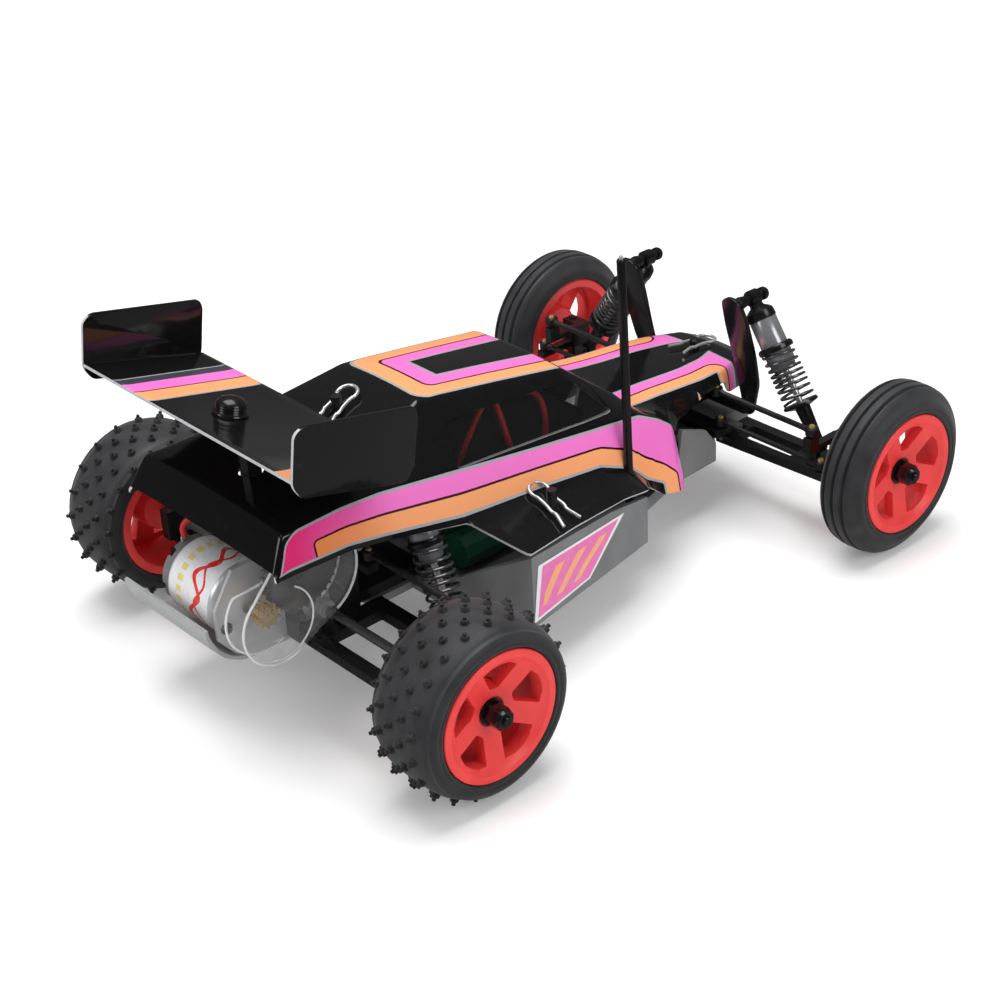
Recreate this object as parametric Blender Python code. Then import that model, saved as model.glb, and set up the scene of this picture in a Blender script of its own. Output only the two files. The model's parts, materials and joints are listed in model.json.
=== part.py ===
"""Off-road RC buggy, 1/16-scale class, rear motor, two-wheel drive.

Frame: +X forward, +Y to the buggy's left, +Z up. The origin lies on the flat underside of the
chassis, straight below the rear axle line. Sizes below are in millimetres; every mesh is scaled
to metres when its object is made. Paired pieces are built for the left and mirrored for the right.
"""

from math import atan2, cos, hypot, pi, radians, sin

import bmesh
import bpy
from mathutils import Matrix, Vector

MM = 0.001
GAP = 0.3                       # running and mating clearance between pieces

# ---- driving dimensions -------------------------------------------------------------------
WHEELBASE = 180.0
RIDE_HEIGHT = 20.0              # chassis underside above the ground

REAR_TYRE_RADIUS = 27.5         # carcass, without studs
STUD_HEIGHT = 1.7
REAR_TYRE_WIDTH = 25.9
REAR_FACE_Y = 90.4              # outer face of the rear rims
FRONT_TYRE_RADIUS = 28.8
FRONT_TYRE_WIDTH = 16.5
FRONT_FACE_Y = 86.0
RIM_RADIUS = 20.2               # rim flange, same for all four wheels

REAR_AXLE_Z = REAR_TYRE_RADIUS + STUD_HEIGHT - RIDE_HEIGHT
FRONT_AXLE_Z = FRONT_TYRE_RADIUS - RIDE_HEIGHT

ARM_Z = 2.5                     # height of every arm hinge
ARM_THICKNESS = 3.6
PIN_RADIUS = 1.0

REAR_ARM_IN_Y = 14.0
REAR_ARM_OUT_Y = 56.0
REAR_SPAN = REAR_ARM_OUT_Y - REAR_ARM_IN_Y
REAR_LINK = (12.0, 20.0, 26.0)  # inner ball of the rear camber link
DRIVE_SHAFT_IN_Y = 16.0
REAR_SHOCK_TOP = (24.0, 27.0, 43.0)
REAR_SHOCK_FOOT = (24.0, 42.0, 7.0)

FRONT_ARM_X = 173.0
FRONT_ARM_IN_Y = 17.0
FRONT_ARM_OUT_Y = 60.6
FRONT_SPAN = FRONT_ARM_OUT_Y - FRONT_ARM_IN_Y
FRONT_LINK = (161.0, 19.4, 23.0)
FRONT_LINK_SPAN = 41.6
TIE_ROD = (161.0, 21.4, 12.2)
KINGPIN = (176.0, 66.0)
FRONT_SHOCK_TOP = (173.0, 24.3, 54.4)
FRONT_SHOCK_FOOT = (173.0, 54.5, 10.5)

SERVO_PIVOT_X = 146.0

MOTOR_CENTRE = (-21.0, 17.2)    # x, z of the motor axis
MOTOR_RADIUS = 12.0
MOTOR_ENDS = (-2.6, 25.0)
SPUR_CENTRE = (-8.0, 27.0)
SPUR_TEETH = 32
PINION_TEETH = 9

ANTENNA = (102.0, -37.6)
ANTENNA_TOP_Z = 96.5
WING_POST_X = -12.0
HOOD_POST_X = 171.0
ROOF_POST_X = 20.0
POD_POST = (64.0, 43.0)
CLIP_POST_RADIUS = 1.7
CLIP_HOLE_RADIUS = 2.3
SHOCK_PIN_RADIUS = 1.2
SHOCK_NUT_RADIUS = 2.2
STUB_AXLE_RADIUS = 1.8

SHELL_THICKNESS = 0.9

# ---- materials: base colour, roughness, metallic --------------------------------------------
BLACK_GLOSS = ((0.01, 0.01, 0.011), 0.12, 0.0)
BLACK_NYLON = ((0.02, 0.02, 0.021), 0.45, 0.0)
TYRE_RUBBER = ((0.035, 0.036, 0.038), 0.7, 0.0)
RIM_RED = ((0.83, 0.06, 0.045), 0.38, 0.0)
GREY_PLASTIC = ((0.33, 0.34, 0.35), 0.35, 0.2)
STEEL = ((0.62, 0.62, 0.63), 0.25, 1.0)
ALUMINIUM = ((0.75, 0.76, 0.77), 0.3, 1.0)
SPRING_BLACK = ((0.04, 0.04, 0.042), 0.3, 0.8)
CLEAR_SMOKE = ((0.6, 0.62, 0.62), 0.1, 0.0)
BATTERY_GREEN = ((0.05, 0.22, 0.12), 0.4, 0.0)
WHITE_NYLON = ((0.8, 0.79, 0.74), 0.4, 0.0)


# ---- mesh helpers -----------------------------------------------------------------------------
def mesh_of(points, faces):
    """Mesh from points and faces, with its faces turned outwards."""
    bm = bmesh.new()
    verts = [bm.verts.new(point) for point in points]
    for face in faces:
        bm.faces.new([verts[i] for i in face])
    bmesh.ops.recalc_face_normals(bm, faces=bm.faces)
    mesh = bpy.data.meshes.new("solid")
    bm.to_mesh(mesh)
    bm.free()
    return mesh


def block(low, high):
    """Box between two corners."""
    points = [(x, y, z) for x in (low[0], high[0]) for y in (low[1], high[1]) for z in (low[2], high[2])]
    faces = [(0, 1, 3, 2), (4, 6, 7, 5), (0, 4, 5, 1), (2, 3, 7, 6), (0, 2, 6, 4), (1, 5, 7, 3)]
    return mesh_of(points, faces)


def prism(outline, axis, start, end):
    """Closed outline swept straight along one axis; the outline is in the other two, in X, Y, Z order."""
    def place(a, b, height):
        point = [a, b]
        point.insert("XYZ".index(axis), height)
        return point

    count = len(outline)
    points = [place(a, b, height) for height in (start, end) for a, b in outline]
    sides = [(i, (i + 1) % count, count + (i + 1) % count, count + i) for i in range(count)]
    return mesh_of(points, [tuple(range(count)), tuple(range(count, 2 * count))] + sides)


def along(start, direction):
    """Placement whose local Z runs along a direction from a start point."""
    turn = Vector(direction).to_track_quat("Z", "Y").to_matrix().to_4x4()
    return Matrix.Translation(Vector(start)) @ turn


def turned(profile, start, direction, steps, ring=False):
    """Profile of (height, radius) points turned about an axis. A ring profile closes on itself."""
    points = []
    rows = []
    for height, radius in profile:
        if radius == 0:
            rows.append([len(points)] * steps)
            points.append((0, 0, height))
            continue
        rows.append([len(points) + k for k in range(steps)])
        points += [(radius * cos(2 * pi * k / steps), radius * sin(2 * pi * k / steps), height)
                   for k in range(steps)]
    pairs = list(zip(rows, rows[1:]))
    if ring:
        pairs.append((rows[-1], rows[0]))
    faces = []
    for low, high in pairs:
        for k in range(steps):
            corners = (low[k], low[(k + 1) % steps], high[(k + 1) % steps], high[k])
            face = list(dict.fromkeys(corners))
            if len(face) > 2:
                faces.append(face)
    mesh = mesh_of(points, faces)
    mesh.transform(along(start, direction))
    return mesh


def rod(start, end, radius, sides=8):
    """Straight round bar between two points."""
    span = Vector(end) - Vector(start)
    return turned([(0, 0), (0, radius), (span.length, radius), (span.length, 0)], start, span, sides)


def ball(centre, radius, sides=8, rows=4):
    """Low sphere, used for the cups and balls of the links."""
    profile = [(-radius * cos(pi * i / rows), radius * sin(pi * i / rows)) for i in range(1, rows)]
    return turned([(-radius, 0)] + profile + [(radius, 0)], centre, (0, 0, 1), sides)


def tube_along(path, radius, sides):
    """Wire that follows a path of points."""
    path = [Vector(point) for point in path]
    points = []
    up = Vector((0.31, 0.17, 0.93)).normalized()
    for i, point in enumerate(path):
        tangent = (path[min(i + 1, len(path) - 1)] - path[max(i - 1, 0)]).normalized()
        side = tangent.cross(up).normalized()
        up = side.cross(tangent).normalized()
        for k in range(sides):
            angle = 2 * pi * k / sides
            points.append(point + radius * (cos(angle) * side + sin(angle) * up))
    faces = [tuple(range(sides)), tuple(range(len(points) - sides, len(points)))]
    for i in range(len(path) - 1):
        for k in range(sides):
            a, b = i * sides + k, i * sides + (k + 1) % sides
            faces.append((a, b, b + sides, a + sides))
    return mesh_of(points, faces)


def combine(base, other, operation):
    """Boolean of two meshes; both are used up."""
    holders = []
    for mesh in (base, other):
        holder = bpy.data.objects.new("holder", mesh)
        bpy.context.collection.objects.link(holder)
        holders.append(holder)
    modifier = holders[0].modifiers.new("boolean", "BOOLEAN")
    modifier.operation = operation
    modifier.object = holders[1]
    graph = bpy.context.evaluated_depsgraph_get()
    result = bpy.data.meshes.new_from_object(holders[0].evaluated_get(graph))
    for holder in holders:
        used = holder.data
        bpy.data.objects.remove(holder)
        bpy.data.meshes.remove(used)
    return result


def fuse(solids, cuts=()):
    """One solid from overlapping solids, less the cuts."""
    result = solids[0]
    for solid in solids[1:]:
        result = combine(result, solid, "UNION")
    for cut in cuts:
        result = combine(result, cut, "DIFFERENCE")
    return result


def mirrored(mesh):
    """Copy of a left-hand mesh for the right."""
    copy = mesh.copy()
    copy.transform(Matrix.Scale(-1, 4, (0, 1, 0)))
    copy.flip_normals()
    return copy


def node(name, mesh, finish, origin=(0, 0, 0)):
    """Object for one piece, with its origin on its joint's axis and its own material."""
    colour, roughness, metallic = finish
    mesh.name = name
    mesh.transform(Matrix.Scale(MM, 4) @ Matrix.Translation(-Vector(origin)))
    mesh.materials.clear()
    material = bpy.data.materials.new(name)
    material.use_nodes = True
    shader = material.node_tree.nodes["Principled BSDF"]
    shader.inputs["Base Color"].default_value = (*colour, 1)
    shader.inputs["Roughness"].default_value = roughness
    shader.inputs["Metallic"].default_value = metallic
    mesh.materials.append(material)
    mesh.shade_smooth()
    mesh.set_sharp_from_angle(angle=radians(35))
    piece = bpy.data.objects.new(name, mesh)
    piece.location = MM * Vector(origin)
    bpy.context.collection.objects.link(piece)


def pair(name, mesh, finish, origin=(0, 0, 0)):
    """Left and right copies of a piece."""
    right = mirrored(mesh)
    node(name + "_left", mesh, finish, origin)
    node(name + "_right", right, finish, (origin[0], -origin[1], origin[2]))


def mirrored_outline(half):
    """Full outline from the points of its +Y half, in (x, y)."""
    return half + [(x, -y) for x, y in reversed(half)]


# ---- chassis ------------------------------------------------------------------------------------
# Half outline of the tub seen from above, with the height of its wall: x, y, height.
TUB_HALF = [
    (18, 11, 2.6), (34, 11, 2.6), (34, 31, 12), (45, 54.2, 24.2),
    (84, 47.6, 20.4), (103, 44.2, 16.4), (115, 31, 4.6), (136, 25.2, 4.6),
    (139, 24.8, 18.6), (151, 24.2, 13.6), (156, 24, 6.8), (164, 14, 6.8),
]
TUB_WALL = 1.6
TUB_FLOOR = 2.4
BULKHEAD_TOP = 6.8


def chassis_tub():
    """Tray with side walls, front bulkhead, front arm hinge pins, clip posts and antenna socket."""
    outer = TUB_HALF + [(x, -y, height) for x, y, height in reversed(TUB_HALF)]
    count = len(outer)
    inner = []
    for i, (x, y, height) in enumerate(outer):
        before = Vector(outer[i - 1][:2])
        after = Vector(outer[(i + 1) % count][:2])
        here = Vector((x, y))
        normals = [Vector((d.y, -d.x)).normalized() for d in (here - before, after - here)]
        inward = (normals[0] + normals[1]).normalized()
        inward *= TUB_WALL / max(0.4, inward.dot(normals[0]))
        inner.append((x + inward.x, y + inward.y, height))
    points = [(x, y, 0) for x, y, _ in outer] + [(x, y, height) for x, y, height in outer]
    points += [(x, y, height) for x, y, height in inner] + [(x, y, TUB_FLOOR) for x, y, _ in inner]
    faces = [tuple(range(count)), tuple(range(3 * count, 4 * count))]
    for row in range(3):
        for i in range(count):
            a, b = row * count + i, row * count + (i + 1) % count
            faces.append((a, b, b + count, a + count))
    bulkhead = prism(mirrored_outline([(158, 13), (184, 13)]), "Z", 0, BULKHEAD_TOP)
    lug = block((171.6, -19.2, 0), (174.4, 19.2, 5.2))
    parts = [mesh_of(points, faces), bulkhead, lug]
    for side in (-1, 1):
        pin_y = side * FRONT_ARM_IN_Y
        post_y = side * POD_POST[1]
        parts.append(rod((165.6, pin_y, ARM_Z), (180.4, pin_y, ARM_Z), PIN_RADIUS))
        parts.append(rod((POD_POST[0], post_y, 1), (POD_POST[0], post_y, 35), CLIP_POST_RADIUS))
    parts.append(turned([(0, 0), (0, 3.2), (5, 3.2), (5, 1.8), (0.8, 1.8), (0.8, 0)],
                        (*ANTENNA, TUB_FLOOR - 0.5), (0, 0, 1), 10))
    hinge_gaps = [block((164.2, side * FRONT_ARM_IN_Y - 2.6, -1), (171.4, side * FRONT_ARM_IN_Y + 2.6, 12))
                  for side in (-1, 1)]
    tub = fuse(parts[:2], hinge_gaps)
    node("chassis_tub", fuse([tub] + parts[2:]), GREY_PLASTIC)


# Half section of the body shell at stations along X: x, then (y, z) of roof or hood edge, belt line,
# lower edge of the side band, and edge of the side pod or free edge.
SHELL = [
    (-31.6, (33.0, 45.2), (35.2, 45.0), (36.3, 44.2), (36.6, 43.2)),
    (-23.0, (30.5, 52.6), (33.2, 52.2), (35.8, 44.8), (36.2, 43.4)),
    (-6.0, (29.5, 55.6), (33.0, 54.6), (36.0, 43.4), (36.4, 42.0)),
    (8.0, (25.5, 59.4), (33.0, 53.6), (36.0, 40.8), (36.4, 39.4)),
    (36.0, (18.1, 66.6), (33.0, 49.2), (36.0, 34.8), (37.6, 33.4)),
    (44.0, (18.3, 65.6), (33.0, 47.9), (36.0, 33.9), (55.0, 26.2)),
    (66.0, (19.0, 62.0), (33.0, 44.5), (36.0, 31.8), (51.2, 24.9)),
    (90.5, (19.9, 57.7), (33.0, 41.0), (36.4, 29.0), (47.2, 22.3)),
    (103.5, (21.4, 47.5), (33.4, 39.5), (37.0, 23.4), (44.8, 19.2)),
    (110.0, (22.3, 42.6), (34.0, 39.0), (37.0, 17.0), (38.2, 14.8)),
    (118.0, (23.4, 36.0), (34.8, 35.2), (36.4, 11.0), (36.6, 8.0)),
    (127.0, (21.8, 35.0), (25.8, 28.6), (31.4, 14.0), (33.8, 5.4)),
    (134.0, (20.2, 34.8), (21.4, 30.2), (25.2, 20.0), (30.4, 5.2)),
    (136.6, (19.6, 34.7), (20.8, 30.2), (22.4, 23.2), (23.2, 20.4)),
    (157.0, (14.8, 33.6), (15.6, 30.6), (17.0, 23.4), (17.6, 19.6)),
    (178.0, (10.6, 30.9), (11.6, 28.2), (12.6, 20.6), (13.0, 16.4)),
    (184.0, (8.6, 27.4), (9.8, 25.0), (11.0, 19.0), (11.6, 15.6)),
]
CROWN = 0.8                     # rise of the roof and hood at the centreline


def body_shell():
    """Thin moulded body: tail, deck, cabin, hood, side bands and pod tops, open underneath."""
    points = []
    for x, *half in SHELL:
        left = list(reversed(half))
        middle = (0.0, half[0][1] + CROWN)
        for y, z in left + [middle] + [(-y, z) for y, z in half]:
            points.append((x, y, z))
    width = 2 * (len(SHELL[0]) - 1) + 1
    faces = []
    for i in range(len(SHELL) - 1):
        for k in range(width - 1):
            a = i * width + k
            faces.append((a, a + 1, a + 1 + width, a + width))
    faces.append(tuple(range((len(SHELL) - 1) * width, len(SHELL) * width)))
    skin = mesh_of(points, faces)
    holder = bpy.data.objects.new("holder", skin)
    bpy.context.collection.objects.link(holder)
    solidify = holder.modifiers.new("thickness", "SOLIDIFY")
    solidify.thickness = SHELL_THICKNESS
    solidify.offset = -1 if skin.polygons[4 * width].normal.z > 0 else 1
    graph = bpy.context.evaluated_depsgraph_get()
    solid = bpy.data.meshes.new_from_object(holder.evaluated_get(graph))
    bpy.data.objects.remove(holder)
    holes = [rod((*ANTENNA, 12), (*ANTENNA, 34), 2.3),
             rod((HOOD_POST_X, 0, 20), (HOOD_POST_X, 0, 40), CLIP_HOLE_RADIUS),
             rod((ROOF_POST_X, 0, 50), (ROOF_POST_X, 0, 75), CLIP_HOLE_RADIUS),
             rod((WING_POST_X, 0, 40), (WING_POST_X, 0, 65), 4.2)]
    for side in (-1, 1):
        x, y = POD_POST[0], side * POD_POST[1]
        holes.append(rod((x, y, 20), (x, y, 40), CLIP_HOLE_RADIUS))
    node("body_shell", fuse([solid], holes), BLACK_GLOSS)


WING_REAR = (-32.4, 79.6)       # x, z of the plate's rear edge
WING_FRONT = (8.0, 68.6)
WING_HALF_SPAN = 50.4


def rear_wing():
    """Sloping plate with an end plate on each side and a fixing knob."""
    slope = Vector((WING_FRONT[0] - WING_REAR[0], WING_FRONT[1] - WING_REAR[1]))
    forward = slope.normalized()
    up = Vector((-forward.y, forward.x))

    def at(run, rise):
        point = Vector(WING_REAR) + run * forward + rise * up
        return (point.x, point.y)

    chord = slope.length
    section = [at(0, 0), at(chord, 0), at(chord, 1.2), at(0, 1.2)]
    plate = prism(section, "Y", -WING_HALF_SPAN, WING_HALF_SPAN)
    end_outline = [at(0.8, -1.8), at(chord - 4, -2.6), at(chord - 1, 0.4), at(chord - 2.2, 14.4),
                   at(chord - 6, 18.0), at(1.4, 16.0), at(-1.6, 13.0)]
    parts = [plate]
    for side in (-1, 1):
        edge = side * WING_HALF_SPAN
        parts.append(prism(end_outline, "Y", edge - 0.4, edge + 1.0))
    knob_at = at(19.0, 0.6)
    parts.append(turned([(0, 0), (0, 5.2), (2.4, 5.2), (3.2, 3.4), (6.4, 3.0), (6.4, 0)],
                        (knob_at[0], 0, knob_at[1]), (up.x, 0, up.y), 10))
    node("rear_wing", fuse(parts), BLACK_GLOSS)


def clip(name, post, height, heading, pitch=0.0):
    """Spring-wire body clip: a round loop whose legs close past the post, lying along the shell."""
    loop_radius = 3.2
    wire = 0.55
    path = []
    for step in range(9):
        angle = radians(35 + 290 * step / 8)
        path.append((-5.6 + loop_radius * cos(angle), loop_radius * sin(angle), 0))
    path = [(9.0, 3.6, 0), (4.2, 2.5, 0), (0.6, 2.7, 0)] + path
    path += [(0.6, -2.7, 0), (4.2, -2.5, 0), (9.0, -3.6, 0)]
    mesh = tube_along(path, wire, 5)
    lie = Matrix.Rotation(radians(pitch), 4, "Y") @ Matrix.Rotation(radians(heading), 4, "Z")
    mesh.transform(Matrix.Translation((*post, height)) @ lie)
    node(name, mesh, STEEL)


def antenna():
    """Upright antenna tube that stands in the tub's socket."""
    start = TUB_FLOOR + 0.8
    profile = [(0, 0), (0, 1.4), (ANTENNA_TOP_Z - start - 1.2, 1.4), (ANTENNA_TOP_Z - start, 0.8),
               (ANTENNA_TOP_Z - start, 0)]
    node("antenna_tube", turned(profile, (*ANTENNA, start), (0, 0, 1), 10), BLACK_NYLON)


def electrics():
    """Battery, receiver and speed control box, and steering servo, lying on the tub's floor."""
    floor = TUB_FLOOR + GAP
    cell_radius, cell_pitch = 6.0, 10.4
    cells = []
    for k in range(4):
        y, z = (k - 1.5) * cell_pitch, floor + cell_radius
        cells.append(rod((48, y, z), (97, y, z), cell_radius, 10))
    node("battery_pack", fuse(cells), BATTERY_GREEN)
    box_top = floor + 12
    lid = block((106.5, -13.5, box_top - 1), (122.5, 13.5, box_top + 1.6))
    node("radio_box", fuse([block((104.5, -16, floor), (124.5, 16, box_top)), lid]), BLACK_NYLON)
    servo = [block((129, -6, floor), (152, 6, 13.5)), block((125.8, -6, 9), (155.2, 6, 10.6)),
             rod((SERVO_PIVOT_X, 0, 13), (SERVO_PIVOT_X, 0, 15.8), 3.4)]
    node("steering_servo", fuse(servo), BLACK_NYLON)


def front_tower():
    """Upright plate with an ear on each side of the nose, shock posts and the hood post."""
    ear = [(12.0, 8.0), (16.6, 13.0), (17.6, 30.0), (19.6, 49.6), (21.6, 53.4), (25.0, 57.4),
           (28.6, 55.4), (29.2, 50.0), (27.4, 30.0), (24.0, 14.0), (18.0, 6.0)]
    left = prism(ear, "X", 165, 167.4)
    right = prism([(-y, z) for y, z in ear], "X", 165, 167.4)
    foot = block((165, -17.0, BULKHEAD_TOP + 0.4), (167.4, 17.0, 13.4))
    bracket = block((166, -3, BULKHEAD_TOP + 0.4), (174.2, 3, 12.4))
    post = rod((HOOD_POST_X, 0, 11), (HOOD_POST_X, 0, 36.6), CLIP_POST_RADIUS)
    parts = [left, foot, right, bracket, post]
    for side in (-1, 1):
        y, z = side * FRONT_SHOCK_TOP[1], FRONT_SHOCK_TOP[2]
        parts.append(rod((166, y, z), (179.4, y, z), SHOCK_PIN_RADIUS, 6))
        parts.append(rod((176.6, y, z), (179.6, y, z), SHOCK_NUT_RADIUS, 6))
    node("front_shock_tower", fuse(parts), BLACK_NYLON)


def rear_tower():
    """Plate across the gearbox with shock posts, wing mast and roof post."""
    half = [(9.0, 23.2), (14.0, 30.0), (24.0, 36.4), (30.0, 39.0),
            (30.4, 44.6), (25.0, 47.0), (12.0, 41.0)]
    plate = prism(half + [(-y, z) for y, z in reversed(half)], "X", 12.6, 15.2)
    mast = [block((WING_POST_X - 3, -3, 31), (14, 3, 34.6)),
            rod((WING_POST_X, 0, 32), (WING_POST_X, 0, 72.4), 3.2),
            rod((ROOF_POST_X, 0, 31), (ROOF_POST_X, 0, 68), CLIP_POST_RADIUS),
            block((14, -2.4, 31), (ROOF_POST_X + 2, 2.4, 34.6))]
    parts = [plate] + mast
    for side in (-1, 1):
        y, z = side * REAR_SHOCK_TOP[1], REAR_SHOCK_TOP[2]
        parts.append(rod((14, y, z), (29.4, y, z), SHOCK_PIN_RADIUS, 6))
        parts.append(rod((27.0, y, z), (29.6, y, z), SHOCK_NUT_RADIUS, 6))
    node("rear_shock_tower", fuse(parts), BLACK_NYLON)


# ---- drivetrain ---------------------------------------------------------------------------------
def gearbox():
    """Case round the differential, bored right across, with the rear arms' hinge pins."""
    outline = [(-9, 0), (14, 0), (14, 22), (4, 22), (-6, 19.5), (-9, 14)]
    case = prism(outline, "Y", -10.6, 10.6)
    foot = block((13, -9.6, TUB_FLOOR + GAP + 0.2), (40, 9.6, 6.4))
    parts = [case, foot]
    for side in (-1, 1):
        pin_y = side * REAR_ARM_IN_Y
        parts.append(block((2.4, side * 13 - 3.4, 0.4), (8.4, side * 13 + 3.4, 4.8)))
        parts.append(rod((-9.2, pin_y, ARM_Z), (21.2, pin_y, ARM_Z), PIN_RADIUS))
    x, y, _ = REAR_LINK
    parts.append(block((x - 2.2, -y - 1.6, 20.4), (x + 1.9, y + 1.6, 22.8)))
    bore = rod((0, -12, REAR_AXLE_Z), (0, 12, REAR_AXLE_Z), 8.6, 16)
    node("gearbox_case", fuse(parts, [bore]), BLACK_NYLON)


def differential():
    """Differential with its two output cups, turning in the gearbox bore."""
    half = [(13.4, 0), (13.4, 2.9), (8.0, 2.9), (8.0, 5.2), (4.0, 5.2), (4.0, 8.0)]
    profile = [(-y, radius) for y, radius in half] + half[::-1]
    centre = (0, 0, REAR_AXLE_Z)
    node("diff_shaft", turned(profile, centre, (0, 1, 0), 14), STEEL, centre)


def gear(centre, teeth, pitch_radius, near, far, tip_angle):
    """Spur gear about a Y axis, with slim straight-sided teeth."""
    tip, root = pitch_radius + 0.42, pitch_radius - 0.62
    pitch = 2 * pi / teeth
    outline = []
    for k in range(teeth):
        middle = tip_angle + k * pitch
        for offset, radius in ((-0.24, root), (-0.11, tip), (0.11, tip), (0.24, root)):
            angle = middle + offset * pitch
            outline.append((centre[0] + radius * cos(angle), centre[1] + radius * sin(angle)))
    return prism(outline, "Y", near, far)


def reduction_gears():
    """Spur gear and the motor's pinion, in mesh, with their shafts."""
    apart = Vector(MOTOR_CENTRE) - Vector(SPUR_CENTRE)
    spur_radius = apart.length * SPUR_TEETH / (SPUR_TEETH + PINION_TEETH)
    pinion_radius = apart.length - spur_radius
    towards = atan2(apart.y, apart.x)
    spur = gear(SPUR_CENTRE, SPUR_TEETH, spur_radius, -14.2, -11.4, towards)
    sx, sz = SPUR_CENTRE
    spur_axle = rod((sx, -16.4, sz), (sx, -10.9, sz), 3.0)
    node("spur_gear", fuse([spur, spur_axle]), WHITE_NYLON, (sx, 0, sz))
    mx, mz = MOTOR_CENTRE
    in_mesh = towards + pi + pi / PINION_TEETH
    pinion = gear(MOTOR_CENTRE, PINION_TEETH, pinion_radius, -14.8, -10.2, in_mesh)
    shaft = rod((mx, -15.6, mz), (mx, -5.8, mz), 1.2)
    node("pinion_gear", fuse([pinion, shaft]), STEEL, (mx, 0, mz))


def motor():
    """Motor can with a rolled rim at each end and a bearing boss."""
    near, far = MOTOR_ENDS
    r = MOTOR_RADIUS
    can = [(near, 0), (near, r - 1.2), (near + 1, r), (far - 5, r)]
    cap = [(far - 5, r - 0.8), (far - 0.8, r - 0.8), (far, r - 1.6)]
    boss = [(far, 4.0), (far + 2.6, 3.4), (far + 2.6, 0)]
    centre = (MOTOR_CENTRE[0], 0, MOTOR_CENTRE[1])
    node("motor_can", turned(can + cap + boss, centre, (0, 1, 0), 20), ALUMINIUM)


def motor_plate():
    """Aluminium sheet: face plate between motor and gear cover, and the guard curved under the motor."""
    inner, outer = MOTOR_CENTRE[1] - 1.2, MOTOR_CENTRE[1]
    first, last, steps = radians(184), radians(270), 9
    angles = [first + (last - first) * k / (steps - 1) for k in range(steps)]
    cx, cz = MOTOR_CENTRE
    outline = [(cx + outer * cos(a), cz + outer * sin(a)) for a in angles]
    outline += [(-9.4, 0), (-9.4, 1.2)]
    outline += [(cx + inner * cos(a), cz + inner * sin(a)) for a in reversed(angles)]
    guard = prism(outline, "Y", -6.0, 36.0)
    face_outline = [(-33.4, 20), (-33.4, 10), (-28, 3.4), (-21, 0.6),
                    (-9.6, 0.6), (-9.6, 22), (-14, 31), (-26, 31)]
    face = prism(face_outline, "Y", -5.2, -4.0)
    boss = rod((cx, -7, cz), (cx, -1, cz), 3.0, 10)
    node("motor_plate", fuse([guard, face], [boss]), ALUMINIUM)


def lobed_outline(margin):
    """Outline round the motor and spur lobes of the gear cover, moved in by a margin."""
    motor_r, spur_r = 13.2 - margin, 16.0 - margin
    (mx, mz), (sx, sz) = MOTOR_CENTRE, SPUR_CENTRE
    line = atan2(sz - mz, sx - mx)
    lean = (spur_r - motor_r) / hypot(sx - mx, sz - mz)
    top = line + pi / 2 + lean
    bottom = line - pi / 2 - lean
    spur_arc = [bottom + (top - bottom) * k / 14 for k in range(15)]
    motor_arc = [top + (2 * pi - top + bottom) * k / 8 for k in range(9)]
    points = [(sx + spur_r * cos(a), sz + spur_r * sin(a)) for a in spur_arc]
    return points + [(mx + motor_r * cos(a), mz + motor_r * sin(a)) for a in motor_arc]


def gear_cover():
    """Clear cup over the spur and pinion gears, open towards the motor plate."""
    shell = prism(lobed_outline(0), "Y", -20.0, -5.6)
    hollow = prism(lobed_outline(1.0), "Y", -19.0, -4.0)
    clear_of_case = block((-9.3, -12, 0), (16, -5, 23.1))
    window = block((-10.6, -10.9, -1), (16, -4, 44))
    node("gear_cover", fuse([shell], [hollow, clear_of_case, window]), CLEAR_SMOKE)


# ---- wheels ---------------------------------------------------------------------------------------
def rim_mesh(face_y, width, axle_z, x, stub_in_y, dish, nut_y):
    """Rim about a Y axis: barrel, five-spoke dish, hub, stub axle and nut."""
    steps = 16
    inner_y = face_y - width
    barrel = RIM_RADIUS - 1.3
    disc, back = face_y - dish, face_y - dish - 1.8
    bore = barrel - 1.4
    profile = [(inner_y + 0.6, bore), (inner_y + 0.6, RIM_RADIUS), (inner_y + 1.8, RIM_RADIUS)]
    profile += [(inner_y + 1.8, barrel), (face_y - 1.2, barrel), (face_y - 1.2, RIM_RADIUS)]
    profile += [(face_y, RIM_RADIUS), (face_y - 0.4, bore), (disc, 15.4), (disc, 5.4)]
    profile += [(disc + 1.6, 4.4), (disc + 1.6, 3.2), (nut_y - 1.2, 3.2), (nut_y - 1.2, STUB_AXLE_RADIUS)]
    profile += [(nut_y, STUB_AXLE_RADIUS), (nut_y, 0), (stub_in_y, 0), (stub_in_y, STUB_AXLE_RADIUS)]
    profile += [(inner_y + 6, STUB_AXLE_RADIUS), (inner_y + 6, 4.6), (back, 4.8), (back, bore)]
    wheel = turned(profile, (x, 0, axle_z), (0, 1, 0), steps, ring=True)
    windows = []
    for k in range(5):
        middle = 2 * pi * (k + 0.25) / 5
        corners = ((6.7, -0.21), (14.3, -0.37), (14.7, 0.0), (14.3, 0.37), (6.7, 0.21))
        outline = [(x + r * cos(middle + a), axle_z + r * sin(middle + a)) for r, a in corners]
        windows.append(prism(outline, "Y", back - 2, face_y + 2))
    return fuse([wheel], windows)


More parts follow.
